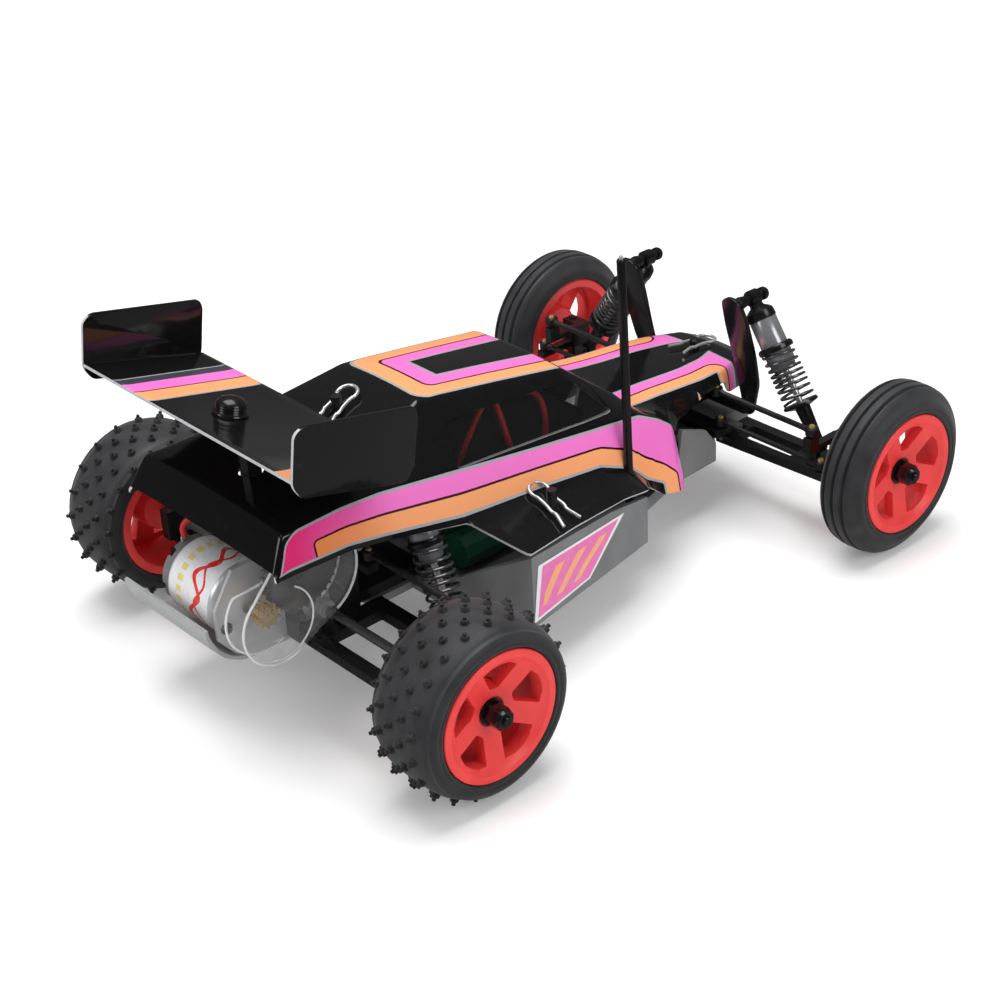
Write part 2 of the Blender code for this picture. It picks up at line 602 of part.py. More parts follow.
def rear_tyre():
    """Tyre with rows of square-cut studs standing out of the tread, staggered row by row."""
    columns, face_y = 20, REAR_FACE_Y
    inner_y = face_y - REAR_TYRE_WIDTH
    bead = RIM_RADIUS + GAP
    rows = 4
    tread = [inner_y + 2.6 + (REAR_TYRE_WIDTH - 5.2) * k / rows for k in range(rows + 1)]
    profile = [(inner_y + 2.1, bead - 1.3), (face_y - 1.5, bead - 1.3), (face_y - 1.5, bead)]
    profile += [(face_y, bead + 0.4), (face_y, 25.4)]
    middle, half_tread = (tread[0] + tread[-1]) / 2, (tread[-1] - tread[0]) / 2
    crown = [(y, REAR_TYRE_RADIUS - 0.5 * ((y - middle) / half_tread) ** 2) for y in reversed(tread)]
    profile += crown + [(inner_y, 25.4), (inner_y, bead + 0.4), (inner_y + 2.1, bead)]
    mesh = turned(profile, (0, 0, REAR_AXLE_Z), (0, 1, 0), columns, ring=True)
    bm = bmesh.new()
    bm.from_mesh(mesh)
    axle = Vector((0, 0, REAR_AXLE_Z))
    chosen = []
    for face in bm.faces:
        spot = face.calc_center_median() - axle
        if hypot(spot.x, spot.z) < REAR_TYRE_RADIUS - 1.2:
            continue
        if not tread[0] < spot.y < tread[-1]:
            continue
        column = int(columns * ((atan2(spot.z, spot.x) / (2 * pi)) % 1))
        row = int(rows * (spot.y - tread[0]) / (tread[-1] - tread[0]))
        if (column + row) % 2 == 0:
            chosen.append(face)
    bmesh.ops.inset_individual(bm, faces=chosen, thickness=1.9)
    bmesh.ops.recalc_face_normals(bm, faces=bm.faces)
    top = bmesh.ops.extrude_discrete_faces(bm, faces=chosen)["faces"]
    for face in top:
        for vert in face.verts:
            outward = Vector((vert.co.x, 0, vert.co.z - REAR_AXLE_Z))
            vert.co += outward.normalized() * (REAR_TYRE_RADIUS + STUD_HEIGHT - outward.length)
    bm.to_mesh(mesh)
    bm.free()
    return mesh


def front_tyre():
    """Rib tyre: two grooves run round the tread."""
    face_y = FRONT_FACE_Y
    inner_y = face_y - FRONT_TYRE_WIDTH
    bead = RIM_RADIUS + GAP
    middle = (face_y + inner_y) / 2
    profile = [(inner_y + 2.1, bead - 1.3), (face_y - 1.5, bead - 1.3), (face_y - 1.5, bead)]
    profile += [(face_y, bead + 0.4), (face_y, 25.6), (face_y - 2.6, 28.2)]
    for groove in (middle + 2.4, middle - 2.4):
        profile += [(groove + 0.6, FRONT_TYRE_RADIUS), (groove + 0.3, FRONT_TYRE_RADIUS - 1.2),
                    (groove - 0.3, FRONT_TYRE_RADIUS - 1.2), (groove - 0.6, FRONT_TYRE_RADIUS)]
    profile += [(inner_y + 2.6, 28.2), (inner_y, 25.6), (inner_y, bead + 0.4), (inner_y + 2.1, bead)]
    return turned(profile, (WHEELBASE, 0, FRONT_AXLE_Z), (0, 1, 0), 20, ring=True)


def wheels():
    """Rims and tyres of all four wheels."""
    rear_centre = (0, REAR_FACE_Y, REAR_AXLE_Z)
    front_centre = (WHEELBASE, FRONT_FACE_Y, FRONT_AXLE_Z)
    rear_rim = rim_mesh(REAR_FACE_Y, REAR_TYRE_WIDTH, REAR_AXLE_Z, 0, 60.0, 4.0, 93.2)
    front_rim = rim_mesh(FRONT_FACE_Y, FRONT_TYRE_WIDTH, FRONT_AXLE_Z, WHEELBASE, 74.0, 3.6, 89.0)
    pair("rear_rim", rear_rim, RIM_RED, rear_centre)
    pair("rear_tyre", rear_tyre(), TYRE_RUBBER, rear_centre)
    pair("front_rim", front_rim, RIM_RED, front_centre)
    pair("front_tyre", front_tyre(), TYRE_RUBBER, front_centre)


# ---- suspension -----------------------------------------------------------------------------------
def arm_mesh(outline, window, gaps, hinge_x, hinge_ys, extra=()):
    """Flat open arm with a bore along X at its inner and outer ends."""
    half = ARM_THICKNESS / 2
    plate = prism(outline, "Z", ARM_Z - half, ARM_Z + half)
    cuts = [prism(window, "Z", ARM_Z - 4, ARM_Z + 4)]
    cuts += [block((x0, y0, ARM_Z - 5), (x1, y1, ARM_Z + 5)) for x0, x1, y0, y1 in gaps]
    cuts += [rod((hinge_x[0], y, ARM_Z), (hinge_x[1], y, ARM_Z), PIN_RADIUS + GAP) for y in hinge_ys]
    return fuse([plate] + list(extra), cuts)


def link_mesh(inner, span, radius=1.2, cup=2.2):
    """Link with a cup at each end, running straight out along Y."""
    x, y, z = inner
    outer = (x, y + span, z)
    cups = [turned([(-1.5, 0), (-1.5, cup), (1.5, cup), (1.5, 0)], end, (0, 0, 1), 8)
            for end in (inner, outer)]
    return fuse([rod(inner, outer, radius, 6)] + cups)


def shock_axis(top, foot):
    """Length and unit direction of a shock from its top eye to its foot."""
    span = Vector(foot) - Vector(top)
    return span.length, span.normalized()


def shock(prefix, top, foot, collar_at, cup_at):
    """Shock body, rod with spring cup, and coil spring between them; distances run down from the top."""
    length, down = shock_axis(top, foot)
    top = Vector(top)
    body_end = 0.49 * length
    eye = rod(top + Vector((-2.6, 0, 0)), top + Vector((2.6, 0, 0)), 3.4, 8)
    body_profile = [(2.2, 0), (2.2, 3.2), (5.0, 4.6), (body_end - 3.0, 4.6), (body_end, 3.8), (body_end, 0)]
    body = turned(body_profile, top, down, 10)
    collar_profile = [(collar_at, 0), (collar_at, 6.0), (collar_at + 1.6, 6.0), (collar_at + 1.6, 0)]
    collar = turned(collar_profile, top, down, 10)
    bore = rod(top + down * 6.0, top + down * (body_end + 1), 1.35, 6)
    post_hole = rod(top + Vector((-5, 0, 0)), top + Vector((5, 0, 0)), SHOCK_PIN_RADIUS + 0.45, 6)
    pair(prefix + "_shock_body", fuse([eye, body, collar], [bore, post_hole]), ALUMINIUM, top)
    shaft = rod(top + down * (body_end - 6.0), top + down * (length - 1), 1.0, 6)
    cup_profile = [(cup_at, 0), (cup_at, 6.0), (cup_at + 1.4, 6.0), (cup_at + 1.4, 2.0), (cup_at + 3, 2.0)]
    cup = turned(cup_profile + [(cup_at + 3, 0)], top, down, 10)
    foot_eye = rod(Vector(foot) + Vector((-1.5, 0, 0)), Vector(foot) + Vector((1.5, 0, 0)), 2.3, 8)
    pair(prefix + "_shock_rod", fuse([shaft, cup, foot_eye]), BLACK_NYLON, top)
    first, last = collar_at + 1.6 + GAP + 0.5, cup_at - GAP - 0.5
    turns, per_turn, coil = 5, 8, 5.3
    side = down.orthogonal().normalized()
    across = down.cross(side)
    path = []
    for k in range(turns * per_turn + 1):
        angle = 2 * pi * k / per_turn
        run = first + (last - first) * k / (turns * per_turn)
        path.append(top + down * run + coil * (cos(angle) * side + sin(angle) * across))
    pair(prefix + "_spring", tube_along(path, 0.45, 3), SPRING_BLACK, top)


def rear_suspension():
    """Arm, hub, camber link, drive shaft and shock at each rear corner."""
    outline = [(-8.6, 12.4), (20.6, 12.4), (20.6, 45.0), (9.4, 58.0), (-8.6, 58.0)]
    window = [(-4.2, 19.0), (15.4, 19.0), (15.4, 42.6), (6.0, 50.4), (-4.2, 50.4)]
    gaps = [(2.0, 8.8, 11.0, 17.2), (-4.8, 5.2, 52.6, 59.0)]
    lug = block((17.6, 40.2, ARM_Z), (20.6, 43.8, 8.4))
    arm = arm_mesh(outline, window, gaps, (-10, 22), (REAR_ARM_IN_Y, REAR_ARM_OUT_Y), [lug])
    pair("rear_arm", arm, BLACK_NYLON, (0, REAR_ARM_IN_Y, ARM_Z))
    hub_parts = [
        block((-7.2, 59.4, 5.2), (15.0, 63.4, 15.6)),
        block((-4.4, 54.4, 0.9), (4.8, 61.0, 4.1)),
        block((-4.4, 59.4, 3.0), (4.8, 63.4, 8.0)),
        block((9.0, 59.4, 14.0), (15.0, 63.4, REAR_LINK[2] - 2.3)),
        rod((-8.4, REAR_ARM_OUT_Y, ARM_Z), (9.2, REAR_ARM_OUT_Y, ARM_Z), PIN_RADIUS),
    ]
    bore = rod((0, 58, REAR_AXLE_Z), (0, 65, REAR_AXLE_Z), 2.3, 10)
    pair("rear_hub", fuse(hub_parts, [bore]), BLACK_NYLON, (0, REAR_ARM_OUT_Y, ARM_Z))
    pair("rear_link", link_mesh(REAR_LINK, REAR_SPAN), BLACK_NYLON, REAR_LINK)
    inner = (0, DRIVE_SHAFT_IN_Y, REAR_AXLE_Z)
    outer = (0, DRIVE_SHAFT_IN_Y + REAR_SPAN, REAR_AXLE_Z)
    shaft = fuse([rod(inner, outer, 1.5, 8), ball(inner, 2.3), ball(outer, 2.0)])
    pair("drive_shaft", shaft, STEEL, inner)
    shock("rear", REAR_SHOCK_TOP, REAR_SHOCK_FOOT, 13.0, 34.0)


def front_suspension():
    """Arm, carrier, camber link, knuckle and shock at each front corner."""
    x0, x1 = FRONT_ARM_X - 8.0, FRONT_ARM_X + 8.0
    outline = [(x0, 15.4), (x1, 15.4), (x1, 24.0), (x1 + 1.0, 62.6), (x0 + 3.0, 62.6)]
    window = [(x0 + 4.0, 22.0), (x1 - 4.0, 22.0), (x1 - 3.6, 44.6), (x0 + 4.8, 44.6)]
    gaps = [(171.2, 174.8, 14.0, 20.4), (171.4, 178.6, 57.0, 64.0)]
    lug = block((168.0, 53.0, ARM_Z), (170.6, 57.0, 11.4))
    arm = arm_mesh(outline, window, gaps, (x0 - 1, x1 + 2), (FRONT_ARM_IN_Y, FRONT_ARM_OUT_Y), [lug])
    pair("front_arm", arm, BLACK_NYLON, (FRONT_ARM_X, FRONT_ARM_IN_Y, ARM_Z))
    kx, ky = KINGPIN
    low, high = 1.0, 17.4
    back_y = ky - 6.6
    ear_x0, ear_x1 = FRONT_LINK[0] - 2.2, FRONT_LINK[0] + 2.2
    carrier_parts = [
        block((171.8, 58.8, low), (178.2, 62.4, 5.2)),
        block((171.8, back_y, 4), (178.2, back_y + 1.7, high)),
        block((173.2, 60.0, low), (178.2, 68.4, low + 2.4)),
        block((173.2, back_y + 0.6, high - 2.4), (178.2, 68.4, high)),
        block((ear_x0, back_y - 0.2, high - 2.0), (174.4, back_y + 2.8, high)),
        block((ear_x0, back_y - 0.2, high - 1), (ear_x1, back_y + 2.8, FRONT_LINK[2] - 2.2)),
        rod((167.8, FRONT_ARM_OUT_Y, ARM_Z), (182.4, FRONT_ARM_OUT_Y, ARM_Z), PIN_RADIUS),
    ]
    kingpin_holes = rod((kx, ky, 0), (kx, ky, 20), 1.4, 8)
    carrier = fuse(carrier_parts, [kingpin_holes])
    pair("front_carrier", carrier, BLACK_NYLON, (FRONT_ARM_X, FRONT_ARM_OUT_Y, ARM_Z))
    pair("front_link", link_mesh(FRONT_LINK, FRONT_LINK_SPAN), BLACK_NYLON, FRONT_LINK)
    knuckle_parts = [
        block((kx - 2.6, ky - 2.2, low + 3.8), (kx + 5.6, ky + 2.6, high - 2.8)),
        rod((kx, ky, 0.6), (kx, ky, 18.0), 1.0),
        rod((WHEELBASE, ky, FRONT_AXLE_Z), (WHEELBASE, 73.4, FRONT_AXLE_Z), STUB_AXLE_RADIUS),
        block((159.0, ky - 2.2, 7.8), (kx, ky + 1.0, 10.0)),
    ]
    pair("front_knuckle", fuse(knuckle_parts), BLACK_NYLON, (kx, ky, FRONT_AXLE_Z))
    shock("front", FRONT_SHOCK_TOP, FRONT_SHOCK_FOOT, 17.6, 37.4)


def steering():
    """Servo horn, sliding cross link and the two tie rods."""
    x, y, z = TIE_ROD
    back, root, tip = SERVO_PIVOT_X - 3.4, SERVO_PIVOT_X + 2, x + 1.4
    outline = [(back, -3.2), (root, -3.4), (tip, -1.5), (tip, 1.5), (root, 3.4), (back, 3.2)]
    horn = prism(outline, "Z", 16.2, 18.0)
    pin = rod((x, 0, z - 4.6), (x, 0, 17), 0.9)
    node("servo_horn", fuse([horn, pin]), WHITE_NYLON, (SERVO_PIVOT_X, 0, 16.2))
    bar = block((157.4, -23.2, z - 4.8), (164.2, 23.2, z - 2.4))
    slot = block((158.5, -1.4, 5), (162.3, 1.4, 13))
    node("steering_link", fuse([bar], [slot]), BLACK_NYLON)
    pair("tie_rod", link_mesh(TIE_ROD, FRONT_SPAN, 1.1, 2.0), BLACK_NYLON, TIE_ROD)


def clear_scene():
    """Remove whatever the scene holds."""
    for item in list(bpy.data.objects):
        bpy.data.objects.remove(item)


def build():
    """Make every piece."""
    clear_scene()
    chassis_tub()
    front_tower()
    rear_tower()
    gearbox()
    differential()
    reduction_gears()
    motor()
    motor_plate()
    gear_cover()
    electrics()
    antenna()
    body_shell()
    rear_wing()
    clip("body_clip_hood", (HOOD_POST_X, 0), 34.6, 155, 7.0)
    clip("body_clip_roof", (ROOF_POST_X, 0), 65.2, 165, -14.0)
    clip("body_clip_right", (POD_POST[0], -POD_POST[1]), 33.2, 160)
    clip("body_clip_left", (POD_POST[0], POD_POST[1]), 33.2, 200)
    wheels()
    rear_suspension()
    front_suspension()
    steering()


build()
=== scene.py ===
"""Looks of the RC buggy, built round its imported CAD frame.

Frame: +X forward, +Y to the buggy's left, +Z up. Sizes are in millimetres; every mesh is scaled to
metres when its piece is made. Paired pieces are built for the left and mirrored for the right.
"""

import json
from math import atan2, cos, exp, hypot, pi, radians, sin

import bmesh
import bpy
from mathutils import Matrix, Vector


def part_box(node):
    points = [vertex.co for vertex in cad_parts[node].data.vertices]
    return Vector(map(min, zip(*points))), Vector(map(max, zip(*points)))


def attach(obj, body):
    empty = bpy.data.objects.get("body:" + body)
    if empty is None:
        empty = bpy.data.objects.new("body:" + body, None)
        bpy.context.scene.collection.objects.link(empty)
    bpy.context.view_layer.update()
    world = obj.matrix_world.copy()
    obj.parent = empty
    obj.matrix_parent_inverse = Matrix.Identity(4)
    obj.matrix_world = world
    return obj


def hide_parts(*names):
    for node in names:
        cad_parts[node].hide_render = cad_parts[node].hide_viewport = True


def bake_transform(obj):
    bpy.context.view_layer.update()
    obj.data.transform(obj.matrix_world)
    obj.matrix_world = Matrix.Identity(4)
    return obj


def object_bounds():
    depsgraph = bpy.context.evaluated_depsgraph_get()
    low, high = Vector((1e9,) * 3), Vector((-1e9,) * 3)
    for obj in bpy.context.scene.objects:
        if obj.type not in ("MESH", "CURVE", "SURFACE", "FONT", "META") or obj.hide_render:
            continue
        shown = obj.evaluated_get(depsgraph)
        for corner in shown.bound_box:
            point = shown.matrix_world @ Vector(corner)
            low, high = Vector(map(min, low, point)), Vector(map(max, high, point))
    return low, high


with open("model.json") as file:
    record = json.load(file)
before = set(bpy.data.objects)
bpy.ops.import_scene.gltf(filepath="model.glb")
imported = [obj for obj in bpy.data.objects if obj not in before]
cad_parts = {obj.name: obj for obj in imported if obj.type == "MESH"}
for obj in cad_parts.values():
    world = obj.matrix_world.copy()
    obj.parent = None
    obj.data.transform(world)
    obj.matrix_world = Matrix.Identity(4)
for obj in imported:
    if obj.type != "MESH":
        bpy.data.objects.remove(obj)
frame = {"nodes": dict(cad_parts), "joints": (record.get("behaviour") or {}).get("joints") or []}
cad_low, cad_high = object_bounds()

MM = 0.001
AHEAD, ACROSS, UPRIGHT = (1, 0, 0), (0, 1, 0), (0, 0, 1)
JOINTS = {joint["name"]: joint for joint in frame["joints"]}


def joint_point(name):
    """Place of a joint's axis."""
    return Vector(JOINTS[name]["pos_m"]) / MM


def node_box(node):
    """Low and high corner of a CAD node."""
    low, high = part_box(node)
    return low / MM, high / MM


def node_centre(node):
    """Middle of a CAD node's box."""
    low, high = node_box(node)
    return (low + high) / 2


# ---- mesh helpers ----
def mesh_of(points, faces):
    """Mesh from points and faces, with its faces turned outwards."""
    bm = bmesh.new()
    verts = [bm.verts.new(point) for point in points]
    for face in faces:
        bm.faces.new([verts[i] for i in face])
    bmesh.ops.recalc_face_normals(bm, faces=bm.faces)
    mesh = bpy.data.meshes.new("shape")
    bm.to_mesh(mesh)
    bm.free()
    return mesh


def block(low, high):
    """Box between two corners."""
    points = [(x, y, z) for x in (low[0], high[0]) for y in (low[1], high[1]) for z in (low[2], high[2])]
    faces = [(0, 1, 3, 2), (4, 6, 7, 5), (0, 4, 5, 1), (2, 3, 7, 6), (0, 2, 6, 4), (1, 5, 7, 3)]
    return mesh_of(points, faces)


def prism(outline, axis, start, end):
    """Closed outline swept straight along one axis; the outline is in the other two, in X, Y, Z order."""
    def place(a, b, height):
        point = [a, b]
        point.insert("XYZ".index(axis), height)
        return point

    count = len(outline)
    points = [place(a, b, height) for height in (start, end) for a, b in outline]
    sides = [(i, (i + 1) % count, count + (i + 1) % count, count + i) for i in range(count)]
    return mesh_of(points, [tuple(range(count)), tuple(range(count, 2 * count))] + sides)


def rounded(outline, radius, steps=5):
    """Closed outline with each corner turned into a short curve."""
    points = [Vector(point) for point in outline]
    result = []
    for i, corner in enumerate(points):
        before = points[i - 1] - corner
        after = points[(i + 1) % len(points)] - corner
        reach = min(radius, 0.45 * before.length, 0.45 * after.length)
        start = corner + reach * before.normalized()
        end = corner + reach * after.normalized()
        for k in range(steps + 1):
            t = k / steps
            result.append(tuple(start.lerp(corner, t).lerp(corner.lerp(end, t), t)))
    return result


def shrunk(outline, gap):
    """Outline moved in by a gap on every side."""
    xs, zs = [p[0] for p in outline], [p[1] for p in outline]
    cx, cz = (min(xs) + max(xs)) / 2, (min(zs) + max(zs)) / 2
    fx, fz = 1 - 2 * gap / (max(xs) - min(xs)), 1 - 2 * gap / (max(zs) - min(zs))
    return [(cx + (x - cx) * fx, cz + (z - cz) * fz) for x, z in outline]


def along(start, direction):
    """Placement whose local Z runs along a direction from a start point."""
    turn = Vector(direction).to_track_quat("Z", "Y").to_matrix().to_4x4()
    return Matrix.Translation(Vector(start)) @ turn


def turned(profile, start, direction, steps=48, ring=False):
    """Profile of (height, radius) points turned about an axis. A ring profile closes on itself."""
    points = []
    rows = []
    for height, radius in profile:
        if radius == 0:
            rows.append([len(points)] * steps)
            points.append((0, 0, height))
            continue
        rows.append([len(points) + k for k in range(steps)])
        points += [(radius * cos(2 * pi * k / steps), radius * sin(2 * pi * k / steps), height)
                   for k in range(steps)]
    pairs = list(zip(rows, rows[1:]))
    if ring:
        pairs.append((rows[-1], rows[0]))
    faces = []
    for low, high in pairs:
        for k in range(steps):
            corners = (low[k], low[(k + 1) % steps], high[(k + 1) % steps], high[k])
            face = list(dict.fromkeys(corners))
            if len(face) > 2:
                faces.append(face)
    mesh = mesh_of(points, faces)
    mesh.transform(along(start, direction))
    return mesh


def rod(start, end, radius, steps=20, chamfer=0.0):
    """Straight round bar between two points, its ends chamfered."""
    span = Vector(end) - Vector(start)
    long = span.length
    profile = [(0, 0), (0, radius - chamfer), (chamfer, radius), (long - chamfer, radius),
               (long, radius - chamfer), (long, 0)]
    if not chamfer:
        profile = [(0, 0), (0, radius), (long, radius), (long, 0)]
    return turned(profile, start, span, steps)


def ball(centre, radius, steps=20, rows=10):
    """Sphere."""
    profile = [(-radius * cos(pi * i / rows), radius * sin(pi * i / rows)) for i in range(1, rows)]
    return turned([(-radius, 0)] + profile + [(radius, 0)], centre, UPRIGHT, steps)


def curve_through(path, per_span=6):
    """Smooth path that passes through the given points."""
    path = [Vector(point) for point in path]
    ends = [2 * path[0] - path[1]] + path + [2 * path[-1] - path[-2]]
    result = []
    for a, b, c, d in zip(ends, ends[1:], ends[2:], ends[3:]):
        for k in range(per_span):
            t = k / per_span
            result.append(0.5 * (2 * b + (c - a) * t + (2 * a - 5 * b + 4 * c - d) * t * t
                                 + (3 * b - a - 3 * c + d) * t ** 3))
    return result + [path[-1]]


def tube_along(path, radius, sides=12):
    """Round wire that follows a path of points."""
    path = [Vector(point) for point in path]
    points = []
    up = Vector((0.31, 0.17, 0.93)).normalized()
    for i, point in enumerate(path):
        tangent = (path[min(i + 1, len(path) - 1)] - path[max(i - 1, 0)]).normalized()
        side = tangent.cross(up).normalized()
        up = side.cross(tangent).normalized()
        for k in range(sides):
            angle = 2 * pi * k / sides
            points.append(point + radius * (cos(angle) * side + sin(angle) * up))
    faces = [tuple(range(sides)), tuple(range(len(points) - sides, len(points)))]
    for i in range(len(path) - 1):
        for k in range(sides):
            a, b = i * sides + k, i * sides + (k + 1) % sides
            faces.append((a, b, b + sides, a + sides))
    return mesh_of(points, faces)


def refined(mesh, *recipes):
    """Mesh after modifiers, each given as its type and its settings. The mesh given is used up."""
    holder = bpy.data.objects.new("holder", mesh)
    bpy.context.collection.objects.link(holder)
    for kind, settings in recipes:
        modifier = holder.modifiers.new(kind, kind)
        for name, value in settings.items():
            setattr(modifier, name, value)
    graph = bpy.context.evaluated_depsgraph_get()
    result = bpy.data.meshes.new_from_object(holder.evaluated_get(graph))
    bpy.data.objects.remove(holder)
    bpy.data.meshes.remove(mesh)
    return result


def combine(base, other, operation):
    """Boolean of two meshes; both are used up."""
    tool = bpy.data.objects.new("tool", other)
    bpy.context.collection.objects.link(tool)
    result = refined(base, ("BOOLEAN", {"operation": operation, "object": tool}))
    bpy.data.objects.remove(tool)
    bpy.data.meshes.remove(other)
    return result


def fuse(solids, cuts=()):
    """One solid from overlapping solids, less the cuts."""
    result = solids[0]
    for solid in solids[1:]:
        result = combine(result, solid, "UNION")
    for cut in cuts:
        result = combine(result, cut, "DIFFERENCE")
    return result


def grouped(meshes):
    """Several solids in one mesh, each left whole."""
    bm = bmesh.new()
    for mesh in meshes:
        bm.from_mesh(mesh)
        bpy.data.meshes.remove(mesh)
    result = bpy.data.meshes.new("group")
    bm.to_mesh(result)
    bm.free()
    return result


def bevelled(mesh, width, segments=2, angle=35):
    """Mesh with its sharp edges rounded over."""
    return refined(mesh, ("BEVEL", {"width": width, "segments": segments, "limit_method": "ANGLE",
                                    "angle_limit": radians(angle), "use_clamp_overlap": True}))


def mirrored(mesh):
    """Copy of a left-hand mesh for the right."""
    copy = mesh.copy()
    copy.transform(Matrix.Scale(-1, 4, ACROSS))
    copy.flip_normals()
    return copy


def everywhere(centre, normal):
    """Test that every face passes."""
    return True


def mark(mesh, index, chosen):
    """Gives a material slot to the faces whose centre and normal pass a test."""
    for face in mesh.polygons:
        if chosen(face.center, face.normal):
            face.material_index = index
    return mesh


def piece(name, mesh, paints, body, stands_for=()):
    """Shown object that moves with a body; the paints fill its material slots."""
    mesh.name = name
    mesh.transform(Matrix.Scale(MM, 4))
    slots = [face.material_index for face in mesh.polygons]
    mesh.materials.clear()
    for paint in paints if isinstance(paints, (list, tuple)) else [paints]:
        mesh.materials.append(paint.material)
    mesh.polygons.foreach_set("material_index", slots)
    mesh.shade_smooth()
    mesh.set_sharp_from_angle(angle=radians(38))
    shown = bpy.data.objects.new(name, mesh)
    bpy.context.collection.objects.link(shown)
    if stands_for:
        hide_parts(*stands_for)
    if body:
        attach(shown, body)
    return shown


def pair(name, mesh, paints, body, stands_for=()):
    """Left and right copies of a piece, each on its own body."""
    right = mirrored(mesh)
    for side, half in (("left", mesh), ("right", right)):
        on = body if body == "root" else f"{body}_{side}"
        piece(f"{name}_{side}", half, paints, on, [f"{node}_{side}" for node in stands_for])


# ---- shader helpers ----
def connect(tree, value, socket):
    """Feeds a socket with a term, another socket, a colour or a number."""
    if isinstance(value, Term):
        value = value.socket
    if isinstance(value, bpy.types.NodeSocket):
        tree.links.new(value, socket)
    elif isinstance(value, tuple):
        socket.default_value = (*value, 1) if len(socket.default_value) == 4 else value
    else:
        socket.default_value = value


class Term:
    """One number in a node tree; arithmetic on it adds Math nodes."""

    def __init__(self, tree, socket):
        self.tree = tree
        self.socket = socket

    def op(self, operation, *others):
        node = self.tree.nodes.new("ShaderNodeMath")
        node.operation = operation
        for value, socket in zip((self, *others), node.inputs):
            connect(self.tree, value, socket)
        return Term(self.tree, node.outputs[0])

    def __add__(self, other):
        return self.op("ADD", other)

    def __sub__(self, other):
        return self.op("SUBTRACT", other)

    def __mul__(self, other):
        return self.op("MULTIPLY", other)

    def __neg__(self):
        return self.op("MULTIPLY", -1.0)

    def __lt__(self, other):
        return self.op("LESS_THAN", other)

    def __gt__(self, other):
        return self.op("GREATER_THAN", other)

    def __abs__(self):
        return self.op("ABSOLUTE")


def largest(a, b):
    """The larger of two terms."""
    return a.op("MAXIMUM", b)


def smallest(a, b):
    """The smaller of two terms."""
    return a.op("MINIMUM", b)


def past_corner(a, b, radius):
    """Distance outside a rounded corner; a and b are the distances past its two straight sides."""
    a, b = a + radius, b + radius
    ax, bx = largest(a, 0.0), largest(b, 0.0)
    outside = (ax * ax + bx * bx).op("SQRT")
    return outside + smallest(largest(a, b), 0.0) - radius


class Paint:
    """Principled material. Texture sizes are in millimetres on the piece at rest."""

    def __init__(self, name, **inputs):
        self.material = bpy.data.materials.new(name)
        self.material.use_nodes = True
        self.tree = self.material.node_tree
        self.shader = self.tree.nodes["Principled BSDF"]
        self.set(**inputs)

    def set(self, **inputs):
        sockets = {socket.name.lower().replace(" ", "_"): socket for socket in self.shader.inputs}
        for name, value in inputs.items():
            connect(self.tree, value, sockets[name])

    def place(self, stretch=(1, 1, 1)):
        """Position on the piece in millimetres."""
        source = self.tree.nodes.new("ShaderNodeTexCoord")
        scale = self.tree.nodes.new("ShaderNodeVectorMath")
        scale.operation = "MULTIPLY"
        scale.inputs[1].default_value = [share / MM for share in stretch]
        self.tree.links.new(source.outputs["Object"], scale.inputs[0])
        return scale.outputs[0]

    def split(self, vector):
        """The three parts of a vector as terms."""
        node = self.tree.nodes.new("ShaderNodeSeparateXYZ")
        self.tree.links.new(vector, node.inputs[0])
        return [Term(self.tree, output) for output in node.outputs]

    def sheet(self):
        """The two flat paint coordinates of the surface, in millimetres."""
        node = self.tree.nodes.new("ShaderNodeUVMap")
        node.uv_map = "sheet"
        return self.split(node.outputs[0])[:2]

    def noise(self, size, detail=3.0, stretch=(1, 1, 1)):
        """Noise from 0 to 1 whose features are about this size."""
        node = self.tree.nodes.new("ShaderNodeTexNoise")
        connect(self.tree, self.place(stretch), node.inputs["Vector"])
        node.inputs["Scale"].default_value = 1 / size
        node.inputs["Detail"].default_value = detail
        return Term(self.tree, node.outputs[0])

    def blend(self, share, first, second):
        """Colour between two colours."""
        node = self.tree.nodes.new("ShaderNodeMix")
        node.data_type = "RGBA"
        for value, socket in ((share, node.inputs[0]), (first, node.inputs[6]), (second, node.inputs[7])):
            connect(self.tree, value, socket)
        return node.outputs[2]

    def between(self, term, low, high, out_low=0.0, out_high=1.0):
        """Term moved from one range to another, and kept in it."""
        node = self.tree.nodes.new("ShaderNodeMapRange")
        for value, socket in zip((term, low, high, out_low, out_high), node.inputs):
            connect(self.tree, value, socket)
        return Term(self.tree, node.outputs[0])

    def bump(self, height, depth):
        """Fine relief of this depth."""
        node = self.tree.nodes.new("ShaderNodeBump")
        node.inputs["Distance"].default_value = depth * MM
        connect(self.tree, height, node.inputs["Height"])
        self.set(normal=node.outputs[0])

    def layers(self, base, *marks):
        """Base colour with flat colours laid over it, each inside its own mask."""
        colour = base
        for mask, over in marks:
            colour = self.blend(mask, colour, over)
        return colour


# ---- materials ----
BLACK = (0.006, 0.006, 0.0065)
DUST = (0.5, 0.5, 0.5)
SILVER = (0.36, 0.37, 0.39)
PINK = (0.90, 0.19, 0.60)
MAGENTA = (0.78, 0.018, 0.17)
ORANGE = (0.95, 0.38, 0.16)
DEEP_ORANGE = (0.80, 0.20, 0.04)
PINSTRIPE = (0.035, 0.003, 0.012)
SLATE = (0.045, 0.05, 0.065)


def moulded(name, colour, roughness, grain=0.5, depth=0.02, spread=0.10):
    """Moulded plastic: fine grain, slight flow marks, and roughness that wanders a little."""
    paint = Paint(name)
    flow = paint.noise(9.0, 2.0, (1, 1, 0.5))
    fine = paint.noise(grain, 2.0)
    darker = tuple(0.72 * part for part in colour)
    lighter = tuple(min(1.0, 1.18 * part + 0.002) for part in colour)
    paint.set(base_color=paint.blend(flow, darker, lighter),
              roughness=paint.between(flow, 0.3, 0.7, roughness - spread / 2, roughness + spread / 2))
    paint.bump(fine, depth)
    return paint


